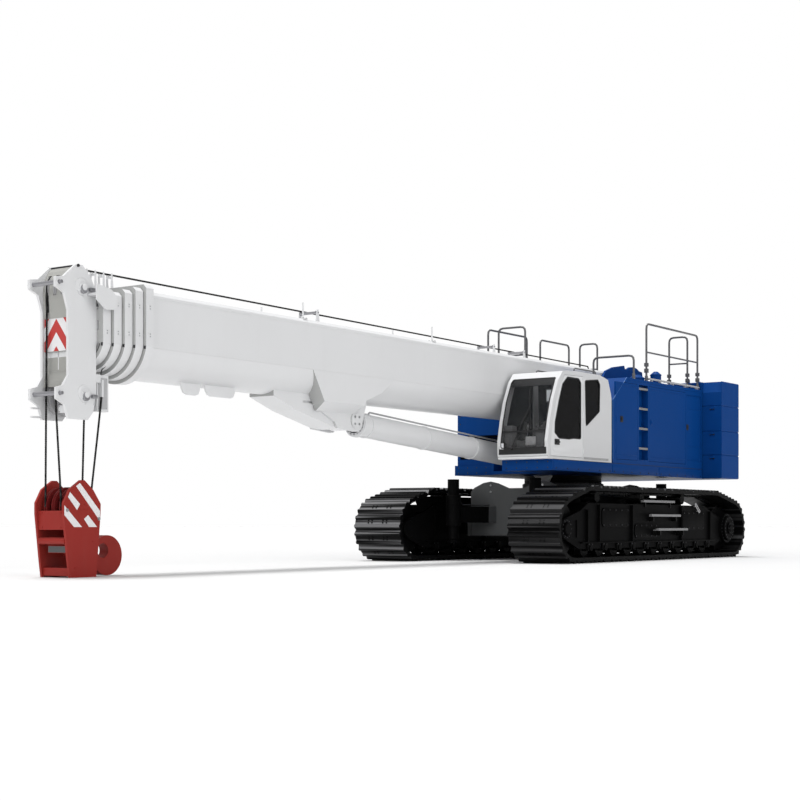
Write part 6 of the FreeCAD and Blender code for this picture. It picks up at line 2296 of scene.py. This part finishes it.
class Boom(Assembly):
    """The telescopic boom: collar pads, seams, guide posts, lugs and rope rollers."""

    body = "boom_base"
    dressing = {"boom_base": WHITE_SECTION_SHADED_FRONTS, **{f"boom_section_{i}": WHITE_SECTION_SHADED_FRONTS for i in (2, 3, 4, 5)}}

    def __init__(self, frame: dict, forms: Forms) -> None:
        """Takes the standard sizes."""
        super().__init__(frame, forms)
        self.size = BoomSizes()

    def collars(self) -> None:
        """Slide-pad covers and screws on each collar, and dark steel marks at its crease as painted shade of the gap at
        the collar's mouth.
        """
        s = self.size
        for i, body in enumerate(s.bodies[:-1]):
            x = s.first_front + s.pitch * i - s.collar_length / 2
            side = s.half - s.step * i + s.collar_rise
            top = s.top - s.step * i + s.collar_rise
            pads, ends = Shape(f"collar_pads_{i + 1}"), Shape(f"collar_pad_ends_{i + 1}")
            rows = []
            for sign in (1, -1):
                deep = sorted((sign * (side - 0.002), sign * (side + 0.005)))
                for z in (3.12, 3.48):
                    pads.block((x - 0.030, deep[0], z - 0.030), (x + 0.030, deep[1], z + 0.030), 0.002)
                    rows += [((x, sign * (side + 0.005), z + dz), outward(sign)) for dz in (-0.016, 0.016)]
                # Painted shade: small dark steel marks at the crease where the collar gap's shadow falls.
                ys = sorted((sign * (side - 0.040), sign * (side - 0.006)))
                ends.block((x + s.collar_length / 2 - 0.002, ys[0], s.crease - 0.03),
                           (x + s.collar_length / 2 + 0.003, ys[1], s.crease + 0.012), 0.001)
            for y in (-0.24, 0.24):
                pads.block((x - 0.042, y - 0.07, top - 0.002), (x + 0.042, y + 0.07, top + 0.006), 0.003)
                rows += [((x, y + dy, top + 0.006), UP) for dy in (-0.045, 0.045)]
            guide, front = rope_height(x + s.collar_length / 2) - 0.036, x + s.collar_length / 2 - 0.02
            for y in (-0.185, -0.095):
                pads.plate([(front - 0.030, top - 0.004), (front + 0.016, top - 0.004),
                            (front + 0.012, guide + 0.052), (front - 0.010, guide + 0.052)],
                           Axis.Y, y - 0.004, y + 0.004, 0.001)
            pads.rod((front, -0.19, guide), (front, -0.09, guide), 0.020, 14, 0.003)
            self.place(pads, WHITE, body)
            # Painted shade: a dark arc in the gap under the collar's mouth.
            self.groove(i, x + s.collar_length / 2 + 0.001, body)
            self.place(ends, DARK_STEEL, body)
            self.bolts(f"collar_screws_{i + 1}", rows, 0.006, "boom_white", body)

    def groove(self, index: int, x: float, body: str) -> None:
        """A dark steel strip round the lower half of a collar's mouth, as painted shade of the gap between the
        sections.

        Args:
            index: The section's number, 0 for the base.
            x: Where the mouth is.
            body: The section's body.
        """
        s = self.size
        half = s.half - s.step * index + 0.010
        drop = s.crease - (s.bottom + s.step * index) + 0.010
        radius = (half * half + drop * drop) / (2 * drop)
        reach = math.asin(half / radius)
        arc = [(x, radius * math.sin(a), s.crease - drop + radius * (1.0 - math.cos(a)))
               for a in spaced(-reach, reach, 25)]
        self.tube(f"collar_wiper_{index + 1}", arc, 0.007, DARK_STEEL, bend=0.0, sides=6, body=body)

    def seams(self) -> None:
        """The long weld beads at the shell's crease and under its top corners."""
        s = self.size
        for n, (y, z) in enumerate((y, z) for y in (s.half + 0.0006, -s.half - 0.0006)
                                   for z in (s.crease, s.top - 0.09)):
            self.tube(f"shell_weld_{n + 1}", [(-0.9, y, z), (11.95, y, z)], 0.004, WHITE, bend=0.0, sides=6)

    def top_fittings(self) -> None:
        """Guide posts and rope roller brackets on the boom's top, with their bolts."""
        s = self.size
        shape, rollers = Shape("boom_top_fittings"), Shape("boom_top_rollers")
        rows = []
        for x in (8.667, 5.22):
            for y in (0.40, -0.40):
                shape.block((x - 0.05, y - 0.05, s.top - 0.001), (x + 0.05, y + 0.05, s.top + 0.012), 0.003)
                shape.rod((x, y, s.top), (x, y, s.top + 0.25), 0.013, 12, 0.003)
                rows += [((x + dx, y + dy, s.top + 0.012), UP) for dx in (-0.035, 0.035) for dy in (-0.035, 0.035)]
        for x in (8.02, 2.864, 1.789):
            z = rope_height(x) - 0.036
            for y in (-0.17, 0.17):
                shape.plate([(x - 0.05, s.top), (x + 0.05, s.top), (x + 0.022, z + 0.045), (x - 0.022, z + 0.045)],
                            Axis.Y, y - 0.005, y + 0.005, 0.002)
            shape.block((x - 0.06, -0.20, s.top - 0.001), (x + 0.06, 0.20, s.top + 0.010), 0.003)
            rows += [((x, y, s.top + 0.010), UP) for y in (-0.12, -0.05, 0.05, 0.12)]
            rollers.turned((x, -0.16, z), ACROSS,
                           [(0.0, 0.030), (0.02, 0.030), (0.03, 0.022),
                            (0.29, 0.022), (0.30, 0.030), (0.32, 0.030)], 20)
            rollers.rod((x, -0.19, z), (x, 0.19, z), 0.009, 10)
        self.place(shape, WHITE)
        self.place(rollers, STEEL)
        self.bolts("boom_top_bolts", rows, 0.010, "boom_white")

    def under_fittings(self) -> None:
        """Rounded lugs under the boom and pin plates on the lift eye's brackets."""
        shape = Shape("boom_under_lugs")
        for x0, x1, z in ((10.70, 11.10, 2.44), (9.97, 10.62, 2.45)):
            c = 0.07
            shape.plate([(x0, 2.60), (x0 + 0.02, z + c), (x0 + 0.045, z + 0.02), (x0 + c + 0.03, z), (x1 - c - 0.06, z),
                         (x1 - 0.07, z + 0.02), (x1 - 0.03, z + c), (x1, 2.60)], Axis.Y, 0.185, 0.215, 0.003)
        self.place(shape, WHITE)
        keepers = Shape("lift_eye_keepers")
        rows = []
        for sign in (1, -1):
            keepers.turned((7.18, sign * 0.285, 2.295), outward(sign),
                           [(0.0, 0.112), (0.010, 0.112), (0.015, 0.106), (0.015, 0.0)], 28)
            rows += circle((7.18, sign * 0.30, 2.295), Axis.Y, 0.078, 4, sign, 0.785)
        self.place(keepers, WHITE)
        self.bolts("lift_eye_bolts", rows, 0.014, "rail_grey")

    def side_line(self) -> None:
        """The cable clipped along the boom's far side."""
        y = -(self.size.half + 0.018)
        self.tube("boom_cable", [(-0.8, y, 3.05), (2.0, y, 3.05), (11.9, y, 3.05)], 0.014, HOSE, bend=0.0)
        self.bars("boom_cable_clips", 12, (-0.4, y + 0.004, 3.05), (1.08, 0.0, 0.0), (0.03, 0.030, 0.05), STEEL,
                  "rail_grey")

    def build(self) -> None:
        """Builds the boom's pieces."""
        self.collars()
        self.seams()
        self.top_fittings()
        self.under_fittings()
        self.side_line()


@dataclass
class LiftSizes:
    """The luffing cylinder's pins and radii."""

    foot: Point = (1.30, 0.0, 1.875)
    eye: Point = (7.18, 0.0, 2.295)
    barrel: float = 0.19
    rod: float = 0.13
    face: float = -0.33


class LiftCylinder(Assembly):
    """The luffing cylinder: gland, clamps, pipe and valve."""

    body = "lift_barrel"
    dressing = {"lift_cylinder_barrel": WHITE, "lift_cylinder_rod": CHROME}

    def build(self) -> None:
        """Builds the cylinder's pieces along its own line."""
        s = LiftSizes()
        foot, eye = Vector(s.foot), Vector(s.eye)
        line, length = (eye - foot).normalized(), (eye - foot).length
        up = Vector((-line.z, 0.0, line.x))
        r, face = s.barrel, length + s.face

        def at(along: float, side: float = 0.0, high: float = 0.0) -> Point:
            """A place by the cylinder's own directions."""
            return tuple(foot + line * along + Vector((0.0, side, 0.0)) + up * high)

        shape = Shape("cylinder_bands")
        for along in (0.62, 2.1, 3.6, length - 0.62):
            shape.turned(at(along), tuple(line), [(0.0, r), (0.0, r + 0.010), (0.035, r + 0.010), (0.035, r)], 36)
        shape.turned(at(face - 0.08), tuple(line), [(0.0, r), (0.0, r + 0.022), (0.05, r + 0.022),
                                                    (0.06, r + 0.014), (0.06, r)], 40)
        self.place(shape, WHITE)
        turns = [2 * math.pi * i / 16 for i in range(16)]
        rows = [(at(face, 0.168 * math.cos(a), 0.168 * math.sin(a)), tuple(line)) for a in turns]
        self.bolts("gland_bolts", rows, 0.010, "boom_white")
        self.tube("cylinder_pipe", [at(0.45, 0.0, r), at(0.45, 0.0, r + 0.042), at(face - 0.37, 0.0, r + 0.042),
                                    at(face - 0.37, 0.0, r)],
                  0.014, PALE_GREY, "boom_white", bend=0.05)
        valve = Shape("holding_valve")
        valve.block((1.60, -0.07, 2.07), (1.86, 0.07, 2.185), 0.012)
        valve.block((1.66, -0.10, 2.085), (1.76, 0.10, 2.165), 0.01)
        self.place(valve, BLACK)
        wiper = Shape("rod_wiper")
        wiper.turned(at(face), tuple(line), [(0.0, s.rod + 0.001), (0.0, s.rod + 0.020), (0.018, s.rod + 0.018),
                                             (0.024, s.rod + 0.001)], 36)
        self.place(wiper, RUBBER)


@dataclass(frozen=True)
class HeadSizes:
    """Where the boom head's axles, chevron panel, switch box and guard bar are."""

    upper_axle: Pair = (12.95, 3.64)
    lower_axle: Pair = (12.91, 2.29)
    cheek: float = 0.2555
    panel_x: float = 13.147
    panel_low: float = 2.850
    panel_high: float = 3.280
    panel_half: float = 0.213
    band: float = 0.168
    band_slope: float = 1.34
    band_pitch: float = 0.345
    band_top: float = 3.258
    lid: float = 0.175
    guard: Pair = (13.025, 3.922)


class BoomHead(Assembly):
    """The boom head: axle nuts, chevron panel, divider, limit switch box and guard bar."""

    body = "boom_tip"
    size = HeadSizes()
    dressing = {"boom_tip": HEAD_RECESS_GREY_AND_SHADE, "head_sheaves": PALE_PLASTIC, "jib_pins": SHEAVE_STEEL}

    def axles(self) -> None:
        """Nuts on retainer plates at both sheave axles, and the small square cover. The nuts and their keepers are dark
        steel as painted shade on their sides, and a white cap on each nut's face is painted light.
        """
        plates, nuts = Shape("head_axle_plates"), Shape("head_axle_nuts")
        rows = []
        for x, z in (self.size.upper_axle, self.size.lower_axle):
            for sign in (1, -1):
                y, out = sign * self.size.cheek, outward(sign)
                plates.turned((x + 0.01, y, z + 0.035), out, [(0.0, 0.10), (0.008, 0.10), (0.011, 0.095),
                                                              (0.011, 0.0)], 28)
                # White cap on the nut's face: painted light.
                plates.turned((x, y + sign * 0.052, z + 0.012), out,
                              [(-0.02, 0.040), (0.004, 0.040), (0.008, 0.034), (0.008, 0.0)], 12)
                # Dark steel nut barrel and keeper: painted shade on their sides.
                nuts.turned((x, y + sign * 0.010, z - 0.008), out,
                            [(0.0, 0.058), (0.036, 0.058), (0.042, 0.052), (0.042, 0.0)], 12)
                deep = sorted((y, y + sign * 0.045))
                nuts.block((x - 0.19, deep[0], z - 0.024), (x - 0.105, deep[1], z + 0.024), 0.012)
                rows += [((x - dx, y, z - 0.10), out) for dx in (0.02, 0.16)]
        for y0, y1 in ((0.255, 0.259), (-0.259, -0.255)):
            plates.block((12.74, y0, 2.69), (12.84, y1, 2.79), 0.002)
        self.place(plates, WHITE)
        self.place(nuts, SHEAVE_STEEL)
        self.bolts("head_axle_bolts", rows, 0.008, "boom_white", finish=WHITE)

    def chevron(self) -> None:
        """The red and white chevron sheet on the head's front: upward bands, corner to corner."""
        s = self.size
        x, low, high, half = s.panel_x, s.panel_low, s.panel_high, s.panel_half
        slope, thick, pitch, top = s.band_slope, s.band, s.band_pitch, s.band_top
        sheet = Shape("chevron_white")
        sheet.block((x - 0.003, -half, low), (x, half, high), 0.001)
        self.place(sheet, WHITE_SHEET)
        red = Shape("chevron_red")

        def clip(kept: list[Pair]) -> list[Pair]:
            """A convex outline cut to the sheet.

            Args:
                kept: The outline.

            Returns:
                What of it lies on the sheet.
            """
            for axis, limit, sign in ((0, -half, 1), (0, half, -1), (1, low, 1), (1, high, -1)):
                cut = []
                for a, b in zip(kept, kept[1:] + kept[:1]):
                    da, db = sign * (a[axis] - limit), sign * (b[axis] - limit)
                    if da >= 0:
                        cut.append(a)
                    if da * db < 0:
                        t = da / (da - db)
                        cut.append((a[0] + (b[0] - a[0]) * t, a[1] + (b[1] - a[1]) * t))
                kept = cut
            return kept

        for apex in (top + pitch, top, top - pitch):
            for reach in (half + 0.05, -half - 0.05):
                fall = slope * abs(reach)
                cut = clip([(0.0, apex), (reach, apex - fall), (reach, apex - thick - fall), (0.0, apex - thick)])
                if len(cut) > 2:
                    red.plate(cut, Axis.X, x - 0.001, x + 0.0012, 0.0)
        self.place(red, RED_SHEET)
        self.bolts("chevron_screws", [((x, y, z), AHEAD) for y in (-0.195, 0.195) for z in (2.87, 3.26)], 0.005,
                   "boom_white")

    def divider(self) -> None:
        """The thin divider plate below the panel and the small box between the lower plates."""
        shape = Shape("head_divider")
        shape.block((13.08, -0.006, 2.62), (13.112, 0.006, 2.845), 0.002)
        shape.block((13.100, -0.212, 2.775), (13.112, 0.212, 2.847), 0.003)
        shape.block((13.118, 0.03, 2.07), (13.138, 0.212, 2.165), 0.004)
        self.place(shape, WHITE)
        self.bolts("head_box_bolts", [((13.138, y, z), AHEAD) for y in (0.05, 0.19) for z in (2.085, 2.15)], 0.006,
                   "boom_white")

    def switch(self) -> None:
        """The limit switch box's lid, its cable, and the guard bar's sleeve and end heads."""
        lid = Shape("switch_lid")
        lid.block((12.435, 0.170, 2.15), (12.590, self.size.lid, 2.55), 0.003)
        lid.block((12.47, self.size.lid, 2.27), (12.555, 0.180, 2.43), 0.003)
        self.place(lid, PALE_PLASTIC)
        self.bolts("switch_screws", [((x, self.size.lid, z), ACROSS) for x in (12.447, 12.578)
                                     for z in (2.165, 2.535)], 0.005, "boom_white")
        self.tube("switch_cable", [(12.50, 0.12, 2.584), (12.50, 0.14, 2.66), (12.48, 0.255, 2.74),
                                   (12.46, 0.262, 2.95), (12.52, 0.262, 3.30)],
                  0.007, PLASTIC, bend=0.04)
        x, z = self.size.guard
        bar = Shape("guard_bar_sleeve")
        bar.rod((x, -0.255, z), (x, 0.213, z), 0.0155, 12)
        self.place(bar, DARK_STEEL)
        heads = Shape("guard_bar_ends")
        for y in (0.267, -0.267):
            heads.turned((x, y, z), outward(y), [(-0.006, 0.020), (0.008, 0.020), (0.012, 0.016), (0.012, 0.0)], 12)
        self.place(heads, DARK_STEEL)

    def build(self) -> None:
        """Builds the head's pieces."""
        self.axles()
        self.chevron()
        self.divider()
        self.switch()


@dataclass(frozen=True)
class HookSizes:
    """Where the hook block's cheeks, axle and white bands are."""

    cheek: float = 0.27
    stripe_back: float = 0.2695
    stripe_face: float = 0.2715
    axle_x: float = 12.955
    axle_z: float = 0.89
    bands: tuple[tuple[Pair, ...], ...] = (((13.067, 1.149), (13.0, 1.188), (12.656, 0.839), (12.656, 0.711)),
                                           ((13.201, 1.01), (13.168, 1.072), (13.0, 0.924), (13.05, 0.849)),
                                           ((13.262, 0.905), (12.966, 0.635), (13.101, 0.635), (13.262, 0.785)),
                                           ((12.932, 0.736), (12.863, 0.787), (12.708, 0.635), (12.846, 0.635)))


class HookBlock(Assembly):
    """The hook block: striped cheeks, its small front case and its bolts."""

    body = "hook_block"
    size = HookSizes()
    dressing = {"hook_block": RED, "hook_sheaves": DARK_RED, "hook": RED}

    def build(self) -> None:
        """White slanting bands on both cheeks, the case's cover and the cheeks' bolts."""
        s = self.size
        shape = Shape("hook_stripes")
        for band in s.bands:
            shape.plate(band, Axis.Y, s.stripe_back, s.stripe_face, 0.0)
        shape.mirrored()
        self.place(shape, WHITE_SHEET)
        cover = Shape("hook_case_cover")
        cover.block((13.198, -0.085, 0.315), (13.203, 0.230, 0.395), 0.002)
        self.place(cover, CARBODY_GREY)
        rows = []
        for sign in (1, -1):
            rows += [((x, sign * s.cheek, z), outward(sign)) for x, z in ((12.78, 0.45), (13.08, 0.12), (12.95, 1.17))]
            rows += circle((s.axle_x, sign * s.cheek, s.axle_z), Axis.Y, 0.042, 4, sign, 0.785)
        rows += [((13.227, y, z), AHEAD) for y in (-0.17, 0.17) for z in (0.63, 0.81)]
        self.bolts("hook_block_bolts", rows, 0.008, "hook_red", finish=RED)
        self.bolts("hook_cheek_bolts", [((x, sign * s.stripe_face, z), outward(sign)) for sign in (1, -1)
                                        for x, z in ((13.215, 0.845), (12.675, 0.74))], 0.016, "hook_red")


@dataclass
class RopeSizes:
    """Where the hoist rope runs."""

    radius: float = 0.0142
    across: float = -0.14
    rear: float = -1.29
    drum_exit: Pair = (-2.578, 2.375)
    first_collar: float = 12.110
    pitch: float = 0.147
    sheave: Pair = (12.95, 3.64)
    sheave_radius: float = 0.224
    # Each fall's node and its line, from the top down
    falls: tuple[tuple[str, tuple[Point, ...]], ...] = (
        ("rope_falls", ((13.154, 0.0, 2.29), (13.154, 0.0, 2.16), (13.199, 0.14, 1.02), (13.199, 0.14, 0.89))),
        ("rope_falls", ((12.666, 0.0, 2.29), (12.711, 0.0, 0.89))),
        ("rope_falls", ((12.624, 0.175, 1.70), (12.711, 0.14, 0.89))),
        ("rope_lead", ((13.189, -0.14, 2.04), (13.199, -0.14, 0.89))))
    # The dead end's upper length, from its socket on the head
    dead_end: tuple[Point, Point] = ((12.560, 0.20, 2.30), (12.624, 0.175, 1.696))
    # The lead's upper length, with a bend point in front of the lower sheave
    lead: tuple[Point, Point, Point] = ((13.174, -0.14, 3.64), (13.184, -0.14, 2.54), (13.189, -0.14, 2.036))
    climb: float = 0.5


class Ropes(Assembly):
    """The hoist rope: winch to boom foot, along the boom, over the head and down to the block."""

    body = "boom_base"

    def __init__(self, frame: dict, forms: Forms) -> None:
        """Takes the standard sizes."""
        super().__init__(frame, forms)
        self.size = RopeSizes()

    def strand(self, name: str, points: Sequence[Point]) -> bpy.types.Object:
        """One length of laid rope along a line of points."""
        lay = WireRope(f"{name}_steel", points[0], points[-1])
        return self.forms.strands.grow(name, carrier(points, closed=False), lay, Radius=self.size.radius)

    def falls(self) -> None:
        """The falls and the lead."""
        s = self.size
        for n, (node, line) in enumerate(s.falls):
            top, low = line[0], line[-1]
            piece = self.strand(f"hoist_fall_{n + 1}", line)
            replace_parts(piece, node)
            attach(piece, "hook_hanger")
            1.0 - s.climb / (top[2] - low[2])
            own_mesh(piece)
        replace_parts(self.stretch("dead_end", *s.dead_end, "boom_tip", "hook_hanger"), "rope_falls")
        top, bend, end = (Vector(point) for point in s.lead)
        lead = self.strand("lead_rope", [tuple(top)] + [tuple(bend.lerp(end, t)) for t in spaced(0.0, 1.0, 13)])
        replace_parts(lead, "rope_lead")
        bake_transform(lead)

    def along_boom(self) -> None:
        """The rope on the boom's top, one length that stretches across each collar, and the turn over the head."""
        s = self.size
        line = [(s.rear, s.across, rope_height(s.rear)), (s.first_collar + 0.004, s.across,
                                                          rope_height(s.first_collar))]
        self.fit(self.strand("boom_top_line", line), "rope_steel")
        bodies = BoomSizes().bodies
        for i, (rear, front) in enumerate(zip(bodies, bodies[1:])):
            ends = [(x, s.across, rope_height(x)) for x in (s.first_collar + s.pitch * i,
                                                            s.first_collar + s.pitch * (i + 1))]
            self.stretch(f"collar_line_{i + 1}", *ends, rear, front)
        x, z = s.sheave
        last = s.first_collar + 5 * s.pitch - 0.004
        turn = [(last, s.across, rope_height(last))]
        turn += [(x + s.sheave_radius * math.sin(a), s.across, z + s.sheave_radius * math.cos(a))
                 for a in spaced(0.34, math.pi / 2, 13)]
        self.fit(self.strand("head_line", turn), "rope_steel", "boom_tip")

    def stretch(self, name: str, start: Point, end: Point, rear: str, front: str) -> bpy.types.Object:
        """A straight rope between two points.

        Args:
            name: The piece's name.
            start: Its end on the rear body.
            end: Its end on the front body.
            rear: The rear body, not used.
            front: The front body, not used.

        Returns:
            The rope.
        """
        shape = Shape(name)
        shape.rod(start, end, self.size.radius * 0.92, 10)
        piece = shape.done(WireRope(f"{name}_steel", start, end))
        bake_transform(piece)
        return piece

    def build(self) -> None:
        """Builds the ropes."""
        s = self.size
        self.falls()
        self.along_boom()
        drum, rear = (s.drum_exit[0], s.across, s.drum_exit[1]), (s.rear, s.across, rope_height(s.rear))
        self.stretch("winch_line", drum, rear, "upper", "boom_base")


# The whole


def main() -> None:
    """Builds the sub-assemblies in order, then the studio."""
    logging.basicConfig(level=logging.INFO, format="%(name)s %(message)s")
    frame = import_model()
    forms = Forms()
    assemblies: list[Assembly] = [
        Crawler(frame, forms, Side.LEFT), Crawler(frame, forms, Side.RIGHT), Carbody(frame, forms),
        UpperFrame(frame, forms), Cab(frame, forms), LeftHouse(frame, forms), RightHouse(frame, forms),
        Ballast(frame, forms), Rails(frame, forms), Winches(frame, forms), Boom(frame, forms),
        LiftCylinder(frame, forms), BoomHead(frame, forms), HookBlock(frame, forms), Ropes(frame, forms)]
    for assembly in assemblies:
        assembly.dress()
        LOG.info("%s is done", type(assembly).__name__)
    Studio().build()


if __name__ == "__main__":
    main()
